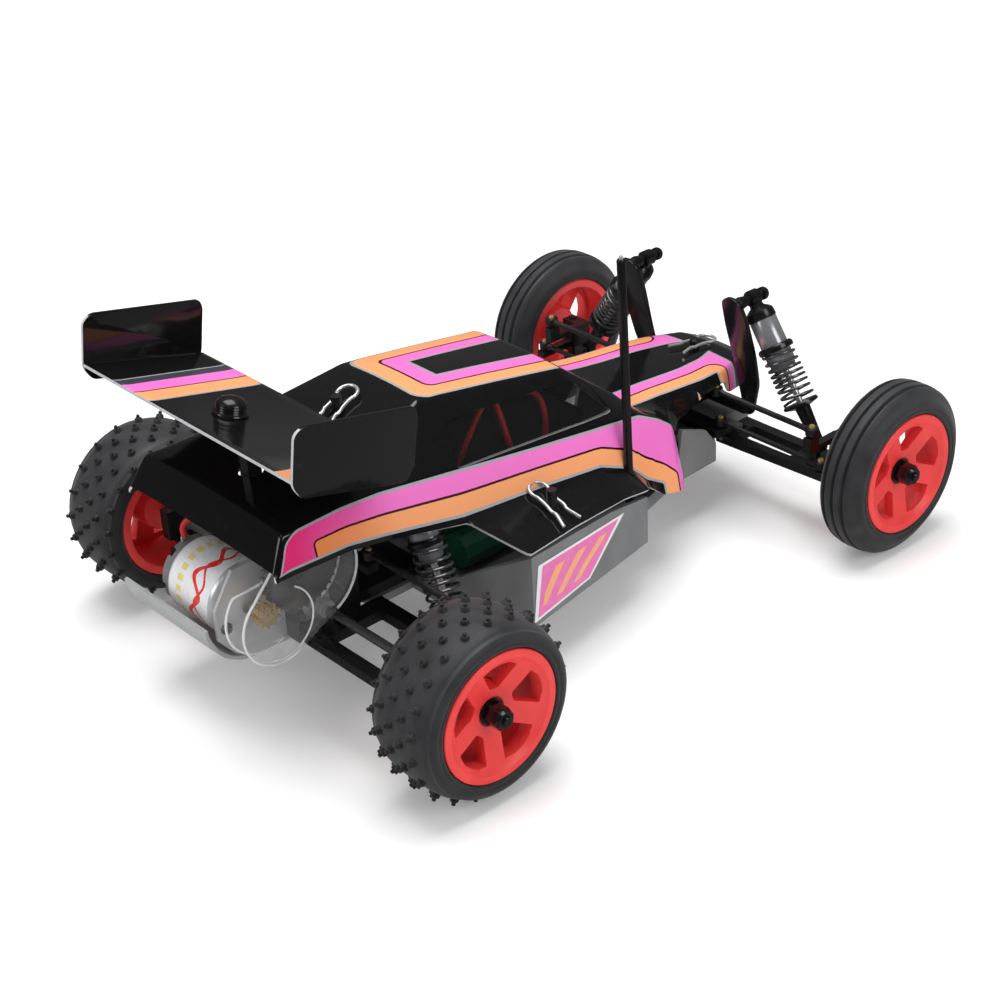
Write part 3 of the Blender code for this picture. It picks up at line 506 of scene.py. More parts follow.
POSTS_ABOVE_Z = 25.0
DARK_GREY, LIGHT_GREY, POST_BLACK = (0.15, 0.155, 0.16), (0.23, 0.235, 0.24), (0.008, 0.008, 0.009)


def tub_plastic():
    """Grey of the chassis tub; its clip posts, which rise above the walls, are black."""
    paint = Paint("tub_grey")
    flow = paint.noise(9.0, 2.0, (1, 1, 0.5))
    z = paint.split(paint.place())[2]
    grey = paint.blend(flow, DARK_GREY, LIGHT_GREY)
    paint.set(base_color=paint.blend(z > POSTS_ABOVE_Z, grey, POST_BLACK),
              roughness=paint.between(flow, 0.3, 0.7, 0.3, 0.4))
    paint.bump(paint.noise(0.5, 2.0), 0.03)
    return paint


def metal(name, colour, roughness, stretch=(1, 1, 1), size=0.8):
    """Satin metal with drawn marks along the stretched direction and dulled patches."""
    paint = Paint(name, metallic=0.6)
    lines = paint.noise(size, 2.0, stretch)
    patches = paint.noise(6.0, 2.0)
    darker = tuple(0.82 * part for part in colour)
    paint.set(base_color=paint.blend(patches, darker, colour),
              roughness=paint.between(lines, 0.3, 0.7, roughness * 0.9, roughness * 1.15))
    paint.bump(lines, 0.0006)
    return paint


def lacquer(name):
    """Gloss coat of the body: deep black or colour under clear plastic, very slightly wavy."""
    paint = Paint(name, roughness=0.12, specular_ior_level=0.42, coat_weight=0.25, coat_roughness=0.04)
    wave = paint.noise(14.0, 1.0)
    specks = paint.noise(0.7, 2.0)
    paint.bump(wave + specks * 0.02, 0.09)
    return paint


def gloss_black():
    """Painted black without stripes."""
    paint = lacquer("gloss_black")
    dust = paint.between(paint.noise(2.2, 6.0), 0.62, 0.8, 0.0, 0.025)
    paint.set(base_color=paint.blend(dust, BLACK, DUST))
    return paint


DEEP_UNTIL_X, PLAIN_FROM_X = -24.0, 12.0


def faded(paint, x):
    """Pink and orange, deeper at the tail."""
    share = paint.between(x, DEEP_UNTIL_X, PLAIN_FROM_X)
    return paint.blend(share, MAGENTA, PINK), paint.blend(share, DEEP_ORANGE, ORANGE)


LINE = 0.8                      # silver outline of every band
ORANGE_TO = 5.6                 # outer edge of the orange band, from the start of its outline
PIN = 0.65                      # dark pinstripe between orange and pink
BAND = 12.0                     # full width of the side band with both outlines
TAIL_X = -31.6                  # rear end of the shell
PINK_START, ORANGE_START = 2.0, 15.0        # how far ahead of it the two colours begin
TAIL_SLANT = 0.46               # run along X of the band's end per millimetre of height
BAND_END_X = 127.0              # the outline that closes the band at the shoulder


def side_band():
    """Band under the windows: pink over orange, with round corners at the tail."""
    paint = lacquer("side_band")
    up, down = paint.sheet()
    x = paint.split(paint.place())[0]
    pink, orange = faded(paint, x)
    from_tail = x - TAIL_X - up * TAIL_SLANT
    pink_out = past_corner(-from_tail + PINK_START, -down + LINE, 4.0)
    orange_out = past_corner(-x + (TAIL_X + ORANGE_START), up - ORANGE_TO, 1.2)
    painted = up > LINE
    inside = (pink_out < 0.0) * painted
    colour = paint.layers(BLACK, ((pink_out < LINE) * (up > 0.0), SILVER), (inside, pink),
                          (inside * (orange_out < PIN), PINSTRIPE), (inside * (orange_out < 0.0), orange),
                          (x > BAND_END_X, SILVER))
    paint.set(base_color=colour)
    return paint


ROOF_REAR_X = 36.0
REAR_STRETCH = 1.35             # the frames are wider across the rear than along the sides
# Frames on the roof from the outside in: inset, corner radius and colour.
ROOF_FRAMES = [(0.0, 4.8, SILVER), (LINE, 4.4, ORANGE), (ORANGE_TO, 3.0, PINSTRIPE),
               (ORANGE_TO + PIN, 2.7, PINK), (11.2, 0.3, SILVER), (11.2 + LINE, 0.2, BLACK)]


def roof_band():
    """Nested frames on the roof, open to the front."""
    paint = lacquer("roof_band")
    x, inward = paint.sheet()
    from_rear = x - (ROOF_REAR_X + 0.6)
    inward = inward - 0.3
    marks = []
    for inset, radius, colour in ROOF_FRAMES:
        outside = past_corner(-from_rear + inset * REAR_STRETCH, -inward + inset, radius)
        marks.append((outside < 0.0, colour))
    paint.set(base_color=paint.layers(BLACK, *marks))
    return paint


NOSE_TURN_X = 161.5
HOOD_BAND, HOOD_ORANGE_TO = 10.6, 5.2       # full width, and where the orange ends


def hood_band():
    """Bands along the hood that turn down over the sides of the nose."""
    paint = lacquer("hood_band")
    x, inward = paint.sheet()
    ahead = x - NOSE_TURN_X
    inward = inward - 0.2
    soft = past_corner(ahead, inward, 0.0)
    square = largest(ahead, inward)
    colour = paint.layers(BLACK, ((square > 0.0) * (square < HOOD_BAND), SILVER),
                          ((square > LINE) * (square < HOOD_BAND - LINE), PINK),
                          ((soft > LINE) * (soft < HOOD_ORANGE_TO + PIN), PINSTRIPE),
                          ((soft > LINE) * (soft < HOOD_ORANGE_TO), ORANGE))
    paint.set(base_color=colour)
    return paint


# Stripes on the wing: inner and outer edge from the centreline, and colour.
WING_STRIPES = [(30.6, 35.2, SLATE), (34.6, 35.2, SILVER), (24.4, 30.6, PINK), (23.8, 24.4, PINSTRIPE),
                (17.0, 23.8, ORANGE), (16.2, 17.0, SILVER)]
STRIPE_SLANT = 0.09
PATCH_Y, PATCH_LENGTH = -42.0, 9.0


def wing_stripes():
    """Stripes along the wing left of its knob, and a short orange patch at the right."""
    paint = lacquer("wing_stripes")
    x, y, _ = paint.split(paint.place())
    tail = node_box("rear_wing")[0].x
    y = y - (x + 29.0) * STRIPE_SLANT
    patch = (y < PATCH_Y) * (x < tail + PATCH_LENGTH)
    marks = [((y > low) * (y < high), colour) for low, high, colour in WING_STRIPES]
    paint.set(base_color=paint.layers(BLACK, *marks, (patch, ORANGE)))
    return paint


def rubber(name, colour):
    """Tyre rubber: dusty in patches, with a fine moulded skin."""
    paint = Paint(name, sheen_weight=0.15)
    dust = paint.noise(6.0, 5.0)
    skin = paint.noise(0.35, 3.0)
    paint.set(base_color=paint.blend(paint.between(dust, 0.35, 0.7), colour, tuple(1.7 * c for c in colour)),
              roughness=paint.between(dust, 0.3, 0.7, 0.46, 0.66))
    paint.bump(skin, 0.03)
    return paint


def see_through(name, tint, share, roughness):
    """Clear or smoked plastic: mostly lets light straight through, and reflects like gloss."""
    paint = Paint(name, base_color=tint, coat_weight=0.4)
    scuffs = paint.noise(5.0, 3.0, (1, 0.4, 1))
    paint.set(alpha=paint.between(scuffs, 0.4, 0.75, share, min(1.0, share + 0.06)),
              roughness=paint.between(scuffs, 0.4, 0.7, roughness, roughness + 0.12))
    return paint


def motor_label():
    """White sleeve with plain waves of red and a row of yellow dashes."""
    paint = Paint("motor_label", coat_weight=0.5)
    x, y, z = paint.split(paint.place())
    axis = node_centre("motor_can")
    around = (z - axis.z).op("ARCTAN2", x - axis.x)
    wave = (around * 6.0).op("SINE") * 2.4
    second = (around * 6.0 + 1.9).op("SINE") * 1.6
    red = largest(abs(y - 6.6 - wave) < 0.95, abs(y - 4.8 - second) < 0.5)
    dashes = (abs(y - 14.2) < 1.3) * ((around * 22.0).op("SINE") > -0.2)
    scuffs = paint.between(paint.noise(2.4, 5.0), 0.5, 0.8, 0.0, 0.2)
    colour = paint.layers((0.82, 0.82, 0.84), (red, (0.78, 0.03, 0.02)), (dashes, (0.80, 0.66, 0.22)),
                          (scuffs, (0.5, 0.5, 0.52)))
    paint.set(base_color=colour, roughness=paint.between(paint.noise(5.0), 0.3, 0.7, 0.2, 0.36))
    return paint


def pod_sticker():
    """Pink side sticker with a white outline and plain orange slashes."""
    paint = Paint("pod_sticker", roughness=0.22, coat_weight=0.5)
    u, v = paint.sheet()
    rim = smallest(smallest(u, -u + 1.0), smallest(v, -v + 1.0))
    slant = (u * 26.0 - v * 7.0)
    slashes = ((slant * 0.9).op("SINE") > 0.25) * (v > 0.2) * (v < 0.8) * (u > 0.12) * (u < 0.86)
    shade = paint.noise(4.0, 2.0)
    base = paint.blend(shade, (0.78, 0.14, 0.42), (0.86, 0.24, 0.5))
    colour = paint.layers(base, (slashes, (0.92, 0.42, 0.2)), (rim < 0.05, (0.8, 0.8, 0.82)))
    paint.set(base_color=colour)
    return paint


shell_black = gloss_black()
band_paint = side_band()
hood_paint = hood_band()
roof_paint = roof_band()
wing_paint = wing_stripes()
cut_edge = moulded("cut_edge", (0.52, 0.52, 0.54), 0.3)
shell_inside = moulded("shell_inside", (0.012, 0.012, 0.013), 0.55)
nylon = moulded("black_nylon", (0.009, 0.009, 0.010), 0.34, depth=0.03, spread=0.16)
spur_nylon = moulded("spur_nylon", (0.03, 0.026, 0.022), 0.4)
satin_black = moulded("satin_black", (0.007, 0.007, 0.008), 0.2)
grey_plastic = moulded("grey_plastic", (0.20, 0.205, 0.21), 0.34, depth=0.03)
tub_grey = tub_plastic()
rim_red = moulded("rim_red", (0.93, 0.052, 0.05), 0.36, spread=0.08)
white_nylon = moulded("white_nylon", (0.74, 0.73, 0.68), 0.42)
battery_green = moulded("battery_green", (0.03, 0.16, 0.08), 0.3)
wire_red = moulded("wire_red", (0.62, 0.025, 0.015), 0.4)
tread_rubber = rubber("tread_rubber", (0.014, 0.0145, 0.0165))
stud_rubber = rubber("stud_rubber", (0.008, 0.008, 0.009))
steel = metal("steel", (0.66, 0.66, 0.67), 0.2)
aluminium = metal("aluminium", (0.86, 0.87, 0.88), 0.34, (0.3, 1, 1), 1.6)
gunmetal = metal("gunmetal", (0.36, 0.37, 0.39), 0.2)
dark_chrome = metal("dark_chrome", (0.12, 0.12, 0.125), 0.2)
brass = metal("brass", (0.62, 0.42, 0.16), 0.28)
smoked = see_through("smoked_window", (0.012, 0.012, 0.013), 0.34, 0.05)
clear = see_through("clear_plastic", (0.60, 0.61, 0.62), 0.06, 0.06)
# Painted highlight: pale, mostly opaque plastic for the lines that catch light along the clear case's rim
# and crease.
clear_rim = see_through("clear_rim", (0.86, 0.87, 0.88), 0.74, 0.1)
label_paint = motor_label()
sticker_paint = pod_sticker()

# ---- body shell ----
# Half section at stations along X: x, then (y, z) of roof or hood edge, belt line, lower edge of the
# side band, and edge of the side pod or free edge.
SHELL = [
    (TAIL_X, (33.4, 45.4), (35.4, 45.2), (36.3, 44.0), (36.6, 43.0)),
    (-26.4, (31.0, 54.8), (33.6, 54.4), (35.9, 44.2), (36.3, 42.8)),
    (-6.0, (29.5, 55.6), (33.0, 54.6), (36.0, 43.4), (36.4, 42.0)),
    (8.0, (25.5, 59.4), (33.0, 53.6), (36.0, 40.8), (36.4, 39.4)),
    (36.0, (18.1, 66.6), (33.0, 49.2), (36.0, 34.8), (37.6, 33.4)),
    (44.0, (18.3, 65.6), (33.0, 47.9), (36.0, 33.9), (55.0, 26.2)),
    (66.0, (19.0, 62.0), (33.0, 44.5), (36.0, 31.8), (51.2, 24.9)),
    (90.5, (19.9, 57.7), (33.0, 41.0), (36.4, 29.0), (47.2, 22.3)),
    (103.5, (21.4, 47.5), (33.4, 39.5), (37.0, 23.4), (44.8, 19.2)),
    (110.0, (22.3, 42.6), (34.0, 39.0), (37.0, 17.0), (38.2, 14.8)),
    (118.0, (22.6, 34.6), (34.8, 35.0), (36.6, 12.0), (36.8, 8.0)),
    (123.5, (21.8, 33.6), (34.8, 30.8), (37.6, 13.0), (37.8, 7.2)),
    (127.5, (21.4, 33.1), (31.6, 27.0), (36.4, 11.6), (36.8, 6.0)),
    (133.0, (21.0, 32.5), (23.2, 28.0), (26.4, 18.0), (30.4, 5.2)),
    (137.0, (20.9, 32.0), (22.0, 29.0), (23.4, 24.0), (23.8, 21.6)),
    (153.0, (20.5, 30.3), (21.5, 27.7), (22.1, 26.6), (22.3, 25.9)),
    (163.9, (18.9, 29.2), (19.9, 27.2), (20.5, 26.5), (20.7, 25.9)),
    (166.4, (18.3, 29.0), (19.3, 26.4), (20.0, 22.4), (20.2, 20.6)),
    (178.0, (14.2, 28.0), (15.2, 25.4), (16.0, 20.6), (16.2, 18.4)),
    (184.0, (11.4, 25.6), (12.4, 23.4), (13.2, 19.4), (13.4, 17.4)),
]
CROWN = 0.8
THICKNESS = 0.9
FILLET = 1.3                    # how far a crease is rounded along and across the shell
CREASE = 0.9
STEP_X = 3.0
ROOF_FRONT_X, COWL_X, SHOULDER_X, NOSE_X = 90.5, 118.0, 128.0, 150.0
ARC = 4                         # steps in each rounded crease
TOP_POINTS = 4
TOP, WINDOW, SIDE, POD = range(4)                           # panels, from the centreline outwards
BARE_SLOT, BAND_SLOT, HOOD_SLOT, ROOF_SLOT, EDGE_SLOT = range(5)
INSIDE_SLOTS = 8                # the slots from here on are for the inside
BAND_BENDS_X, BAND_BENT_X = 84.0, 98.0      # where the band's width stops following the belt
POD_BAND_X = 104.0              # the band covers the pod's front corner from here
HOOD_POST_X, ROOF_POST_X, WING_POST_X = 171.0, 20.0, -12.0
POD_POST = (64.0, 43.0)


def section(x):
    """Corners (y, z) of the half section at x."""
    x = min(max(x, SHELL[0][0]), SHELL[-1][0])
    for (x0, *low), (x1, *high) in zip(SHELL, SHELL[1:]):
        if x <= x1:
            share = (x - x0) / (x1 - x0)
            return [Vector(a).lerp(Vector(b), share) for a, b in zip(low, high)]


def soft_section(x):
    """Half section whose creases across the shell are rounded."""
    reach = min(CREASE, x - SHELL[0][0], SHELL[-1][0] - x)
    near = [section(x + reach * k / 2) for k in range(-2, 3)]
    return [sum(corner, Vector((0, 0))) / len(near) for corner in zip(*near)]


def half_row(x):
    """Points of the half section from the centreline outwards, its long creases rounded."""
    corners = soft_section(x)
    edge = corners[0]
    shares = [k / TOP_POINTS for k in range(TOP_POINTS)]
    path = [Vector((edge.x * t, edge.y + CROWN * (1 - t * t))) for t in shares] + corners
    row = path[:TOP_POINTS]
    for i in range(TOP_POINTS, TOP_POINTS + 3):
        corner = path[i]
        before, after = path[i - 1] - corner, path[i + 1] - corner
        reach = min(FILLET, 0.4 * before.length, 0.4 * after.length)
        start, end = corner + reach * before.normalized(), corner + reach * after.normalized()
        for k in range(ARC + 1):
            t = k / ARC
            row.append(start.lerp(corner, t).lerp(corner.lerp(end, t), t))
    return row + [path[-1]]


BREAKS = [TOP_POINTS + ARC // 2 + k * (ARC + 1) for k in range(3)]
FOOT_LINE = [(x, low[1]) for x, _, _, low, _ in SHELL if 66 <= x <= COWL_X] + [(119.5, 3.0)]


def from_foot_line(s, z):
    """Signed distance from the line that bounds the pod, positive above it and in front of it."""
    point = Vector((s, z))
    best, sign = 1e9, 1
    for a, b in zip(FOOT_LINE, FOOT_LINE[1:]):
        a, b = Vector(a), Vector(b)
        run = b - a
        share = min(1.0, max(0.0, (point - a).dot(run) / run.length_squared))
        away = point - (a + share * run)
        if away.length < best:
            best = away.length
            sign = 1 if run.x * away.y - run.y * away.x > 0 else -1
    return sign * best


def paint_spot(x, row, start_row, k, panel):
    """Flat paint coordinates of one point of a row."""
    lengths = [0.0]
    for a, b in zip(row, row[1:]):
        lengths.append(lengths[-1] + (b - a).length)
    if x > NOSE_X or panel in (TOP, WINDOW):
        return (x, lengths[BREAKS[0]] - lengths[k])
    down = lengths[k] - lengths[BREAKS[1]]
    height = lengths[BREAKS[2]] - lengths[BREAKS[1]]
    up = height - down
    scale = BAND / height
    turn = min(1.0, max(0.0, (x - BAND_BENDS_X) / (BAND_BENT_X - BAND_BENDS_X)))
    if turn == 0:
        return (up * scale, down * scale)
    s = x
    if x > COWL_X:
        s = COWL_X + hypot(x - COWL_X, start_row[k].x - row[k].x)
    true_up = from_foot_line(s, row[k].y)
    return (up * scale * (1 - turn) + true_up * turn, down * (scale * (1 - turn) + turn))


def face_slot(x, panel):
    """Material slot of a face, from its place along X and its panel."""
    if x > NOSE_X or panel == TOP and x > COWL_X:
        return HOOD_SLOT
    if panel == TOP and ROOF_REAR_X < x < ROOF_FRONT_X:
        return ROOF_SLOT
    if panel == SIDE and x < SHOULDER_X or panel == POD and POD_BAND_X < x < SHOULDER_X:
        return BAND_SLOT
    return BARE_SLOT


def station_places():
    """Places along X where the shell is sampled: close together at each crease."""
    places = set()
    for (x0, *_), (x1, *_) in zip(SHELL, SHELL[1:]):
        places.update([x0, x1])
        reach = min(CREASE, 0.45 * (x1 - x0))
        first, last = x0 + reach, x1 - reach
        places.update([x0 + reach / 2, x1 - reach / 2])
        count = max(1, round((last - first) / STEP_X))
        places.update(first + (last - first) * k / count for k in range(count + 1))
    return sorted(places)


def shell_skin():
    """Outer skin of the shell, its faces carrying slots and flat paint coordinates."""
    places = station_places()
    rows = [half_row(x) for x in places]
    start_row = half_row(COWL_X)
    width = len(rows[0])
    bm = bmesh.new()
    sheet = bm.loops.layers.uv.new("sheet")
    grid = []
    for x, row in zip(places, rows):
        right = [bm.verts.new((x, -p.x, p.y)) for p in row]
        left = [right[0]] + [bm.verts.new((x, p.x, p.y)) for p in row[1:]]
        grid.append((left, right))
    for i in range(len(places) - 1):
        middle = (places[i] + places[i + 1]) / 2
        for k in range(width - 1):
            panel = sum(k >= edge for edge in BREAKS)
            for side in (0, 1):
                spots = [(i, k), (i + 1, k), (i + 1, k + 1), (i, k + 1)]
                if side:
                    spots.reverse()
                face = bm.faces.new([grid[row][side][column] for row, column in spots])
                face.material_index = face_slot(middle, panel)
                for loop, (row, column) in zip(face.loops, spots):
                    loop[sheet].uv = paint_spot(places[row], rows[row], start_row, column, panel)
    bm.faces.new(grid[-1][0][::-1] + grid[-1][1][1:])
    roof = next(face for face in bm.faces if face.material_index == ROOF_SLOT)
    bmesh.ops.recalc_face_normals(bm, faces=bm.faces)
    if roof.normal.z < 0:
        bmesh.ops.reverse_faces(bm, faces=bm.faces)
    mesh = bpy.data.meshes.new("skin")
    bm.to_mesh(mesh)
    bm.free()
    return mesh


SIDE_WINDOW = [(40.7, 60.0), (91.9, 54.0), (102.4, 41.9), (37.0, 48.9)]
WINDSCREEN = [(94.5, -16.8), (94.5, 16.8), (113.5, 19.2), (113.5, -19.2)]
PANE_GAP = 0.12


def window_tools(gap):
    """Solids that cut the side windows and the windscreen, moved in by a gap."""
    side = rounded(shrunk(SIDE_WINDOW, gap), 1.8)
    front = rounded(shrunk(WINDSCREEN, gap), 3.5)
    return {"side_window_left": prism(side, "Y", 12, 45), "side_window_right": prism(side, "Y", -45, -12),
            "windscreen": prism(front, "Z", 30, 70)}


def body_shell():
    """Moulded shell with cut-out windows, post holes and pale cut edges, and its smoked panes."""
    slots = [shell_black, band_paint, hood_paint, roof_paint] + [cut_edge] * 4 + [shell_inside] * 4

    def with_slots(mesh):
        for paint in slots:
            mesh.materials.append(paint.material)
        return mesh

    def cutter(mesh):
        return with_slots(mark(mesh, EDGE_SLOT, everywhere))

    solid = refined(with_slots(shell_skin()),
                    ("SOLIDIFY", {"thickness": THICKNESS, "offset": -1, "material_offset": INSIDE_SLOTS,
                                  "material_offset_rim": EDGE_SLOT, "use_even_offset": True}))
    for name, tool in window_tools(PANE_GAP).items():
        pane = combine(solid.copy(), cutter(tool), "INTERSECT")
        piece(name + "_pane", mark(pane, 0, everywhere), smoked, "root")
    mast = node_centre("antenna_tube")
    posts = [(mast.x, mast.y, 2.0), (HOOD_POST_X, 0, 2.2), (ROOF_POST_X, 0, 2.2), (WING_POST_X, 0, 3.8)]
    posts += [(POD_POST[0], side * POD_POST[1], 2.2) for side in (-1, 1)]
    holes = [rod((x, y, 12), (x, y, 72), radius) for x, y, radius in posts]
    cuts = [cutter(tool) for tool in list(window_tools(0).values()) + holes]
    piece("moulded_shell", fuse([solid], cuts), slots, "root", ["body_shell"])


def cabin_parts():
    """Dark block with fins under the roof, which stands in for the shade inside the cabin, and the red wires
    that show through the right window.
    """
    # Painted shade: a dark block under the roof fills the cabin, so the windows show shade instead of the
    # floor behind.
    side_view = [(40, 31), (106, 31), (106, 35), (94, 44), (86, 50), (48, 52), (40, 50)]
    body = prism(rounded(side_view, 2.0), "Y", -13, 13)
    fins = [block((50 + 4 * k, -9, 48), (51.2 + 4 * k, 9, 54)) for k in range(5)]
    piece("cabin_housing", bevelled(fuse([body] + fins), 0.3, 2), nylon, "root")
    runs = {
        "cabin_wire_rear": [(47, -19, 38), (50, -22.0, 49), (57, -20.6, 56.2), (61.5, -19.6, 58.0),
                            (62.6, -21.5, 56.0), (62.4, -26.0, 47.0), (64, -27, 38)],
        "cabin_wire_front": [(70, -14, 54), (76, -19.0, 55.0), (79.5, -21.8, 52.4), (79.0, -24.8, 46.5),
                             (78, -25.5, 38)],
    }
    for name, run in runs.items():
        piece(name, tube_along(curve_through(run), 0.95), wire_red, "root")


# ---- wing, clips and antenna ----
WING_SLOPE = (40.4, -11.0)      # run along X and drop of the plate
WING_REAR = (-32.4, 79.6)
WING_HALF_SPAN = 50.4


def wing():
    """Sloping plate with round-cornered end plates, pale cut edges and a ribbed fixing knob."""
    slope = Vector(WING_SLOPE)
    forward = slope.normalized()
    up = Vector((-forward.y, forward.x))
    chord = slope.length

    def at(run, rise):
        point = Vector(WING_REAR) + run * forward + rise * up
        return (point.x, point.y)

    lip = [at(0, 0.9), at(0, 0), at(3, -0.2), at(chord - 3, -0.2), at(chord, 0), at(chord, 0.9),
           at(chord - 3, 0.7), at(3, 0.7)]
    ends = rounded([at(0.0, -0.6), at(3.6, -4.2), at(chord - 2.4, -4.2), at(chord - 0.6, 1.0),
                    at(chord - 2.0, 15.6), at(chord - 3.6, 17.8), at(1.0, 16.0), at(-1.6, 13.6)], 1.8, 5)
    parts = [prism(lip, "Y", -WING_HALF_SPAN, WING_HALF_SPAN)]
    for side in (-1, 1):
        edge = side * WING_HALF_SPAN
        parts.append(prism(ends, "Y", edge - 0.4, edge + 0.6))
    mesh = bevelled(fuse(parts), 0.16, 2)
    normal = Vector((up.x, 0, up.y))
    mark(mesh, 1, lambda centre, n: abs(n.y) < 0.6 and abs(n.dot(normal)) < 0.8)
    mark(mesh, 2, lambda centre, n: n.dot(normal) > 0.96 and abs(centre.y) < WING_HALF_SPAN - 0.6)
    piece("wing_panel", mesh, [shell_black, cut_edge, wing_paint], "root", ["rear_wing"])
    knob_at = at(16.4, 0.7)
    dome = [(0, 0), (0, 5.0), (0.5, 5.2), (0.9, 5.0), (1.1, 4.5), (1.5, 4.3), (1.8, 4.5), (2.2, 4.3),
            (2.5, 4.5), (2.9, 4.3), (3.2, 4.4), (3.8, 4.1), (4.6, 3.3), (5.1, 2.1), (5.3, 0.9), (5.35, 0)]
    piece("wing_knob", turned(dome, (knob_at[0], 0, knob_at[1]), normal, 40), satin_black, "root")


def clip_path():
    """Centre line of a body clip: a loop whose legs pinch the post and flare out."""
    radius = 3.2
    loop = []
    for step in range(15):
        angle = radians(35 + 290 * step / 14)
        loop.append((-5.6 + radius * cos(angle), radius * sin(angle), 0))
    legs = [(9.0, 3.6, 0), (6.6, 2.9, 0), (4.2, 2.3, 0), (2.6, 2.7, 0), (0.4, 2.4, 0), (-1.4, 2.4, 0)]
    return legs + loop[1:-1] + [(x, -y, z) for x, y, z in reversed(legs)]


def body_clips():
    """Spring-wire clips, each lying on the shell at its post."""
    places = {"hood": ((HOOD_POST_X, 0, 30.8), 180, -5.0), "roof": ((ROOF_POST_X, 0, 65.0), 196, 15.0),
              "right": ((POD_POST[0], -POD_POST[1], 30.6), -87, 24.0),
              "left": ((POD_POST[0], POD_POST[1], 30.6), 87, 24.0)}
    for name, (place, heading, pitch) in places.items():
        mesh = tube_along(curve_through(clip_path(), 4), 0.55, 12)
        lie = Matrix.Rotation(radians(heading), 4, "Z") @ Matrix.Rotation(radians(pitch), 4, "Y")
        mesh.transform(Matrix.Translation(place) @ lie)
        piece("wire_clip_" + name, mesh, steel, "root", ["body_clip_" + name])


def antenna():
    """Black antenna tube with a pale wire tip, leaning a little."""
    low, high = node_box("antenna_tube")
    tall = high.z - low.z
    lean = Vector((-1.1, 0.9, tall)).normalized()
    profile = [(0, 0), (0, 1.4), (tall - 1.7, 1.4), (tall - 1.2, 1.1), (tall - 1.2, 0)]
    middle = node_centre("antenna_tube")
    foot = Vector((middle.x, middle.y, low.z))
    piece("antenna_mast", turned(profile, foot, lean, 32), satin_black, "root", ["antenna_tube"])
    tip = [(0, 0), (0, 0.7), (0.9, 0.6), (1.2, 0.3), (1.2, 0)]
    piece("antenna_tip", turned(tip, foot + lean * (tall - 1.2), lean, 24), steel, "root")


# ---- wheels ----
RIM_RADIUS = 20.2
SPOKES = 5
FLANGE, NUT_SINK = 1.8, 0.4     # width of the rim's edges, and depth of the nut's seat below the dish


def wheel_rim(face_y, width, axle_z, x, dish, stub_y):
    """Rim with a flat flange, a sunken five-spoke dish and round-cornered windows."""
    inner = face_y - width
    barrel, bore = RIM_RADIUS - 1.3, RIM_RADIUS - 2.7
    disc, back = face_y - dish, face_y - dish - FLANGE
    profile = [(inner + 0.6, bore), (inner + 0.6, RIM_RADIUS - 0.3), (inner + 0.9, RIM_RADIUS),
               (inner + FLANGE, RIM_RADIUS), (inner + FLANGE, barrel), (face_y - 1.2, barrel),
               (face_y - 1.2, RIM_RADIUS), (face_y - 0.3, RIM_RADIUS), (face_y, RIM_RADIUS - 0.3),
               (face_y, bore + 0.3), (face_y - 0.4, bore - 0.2), (face_y - 1.4, 15.8), (disc + 0.2, 7.0),
               (disc - 0.2, 6.0), (disc - 0.2, 4.6), (disc - 0.8, 4.2), (disc - 0.8, 1.8),
               (stub_y, 1.8), (stub_y, 0.01), (inner + 8, 0.01), (inner + 8, 6.8), (inner + 8.6, 7.4),
               (back - 1.0, 8.0), (back, 15.0), (back, bore)]
    disc_and_barrel = turned(profile, (x, 0, axle_z), ACROSS, 80, ring=True)
    windows = []
    fan = ((7.6, -0.2), (15.4, -0.41), (16.1, -0.2), (16.2, 0.0), (16.1, 0.2), (15.4, 0.41), (7.6, 0.2))
    for k in range(SPOKES):
        middle = 2 * pi * (k + 0.25) / SPOKES - 0.12
        outline = [(x + r * cos(middle + a), axle_z + r * sin(middle + a)) for r, a in fan]
        windows.append(prism(rounded(outline, 0.5, 3), "Y", back - 3, face_y + 2))
    return bevelled(fuse([disc_and_barrel], windows), 0.18, 2, 40)


def wheel_nut(disc_y, x, axle_z, end_y):
    """Black flanged lock nut on a washer, with the axle's end showing."""
    washer = turned([(0, 0), (0, 4.1), (0.5, 4.1), (0.5, 0)], (x, disc_y, axle_z), ACROSS, 40)
    hexagon = [(x + 3.6 * cos(pi * k / 3), axle_z + 3.6 * sin(pi * k / 3)) for k in range(6)]
    nut = bevelled(prism(hexagon, "Y", disc_y + 0.5, end_y - 1.7), 0.3, 2)
    collar = turned([(0, 0), (0, 3.0), (0.9, 2.6), (0.9, 0)], (x, end_y - 1.8, axle_z), ACROSS, 32)
    axle = rod((x, end_y - 1.2, axle_z), (x, end_y, axle_z), 1.5, 24, 0.25)
    return grouped([washer, nut, collar, axle])


SHOULDER = 2.0                  # width of a tyre's rounded edge beside its tread


def tyre_profile(face_y, width, radius, drop):
    """Closed section of a tyre; drop(t) gives the fall from the full radius at -1..1 across it."""
    inner, middle = face_y - width, face_y - width / 2
    half = width / 2 - SHOULDER
    side = [(1.6, 19.2), (1.5, 20.4), (0.5, 20.6), (0.15, 21.0), (0.1, 21.6), (0.3, 22.0), (0.1, 22.6),
            (0.1, 23.4), (0.4, 24.2), (0.9, 25.0)]
    count = 64
    across = [1 - 2 * k / count for k in range(count + 1)]
    crown = [(middle + t * half, radius - drop(t)) for t in across]
    outer = [(face_y - inset, r) for inset, r in side]
    return outer + crown + [(inner + inset, r) for inset, r in reversed(side)]


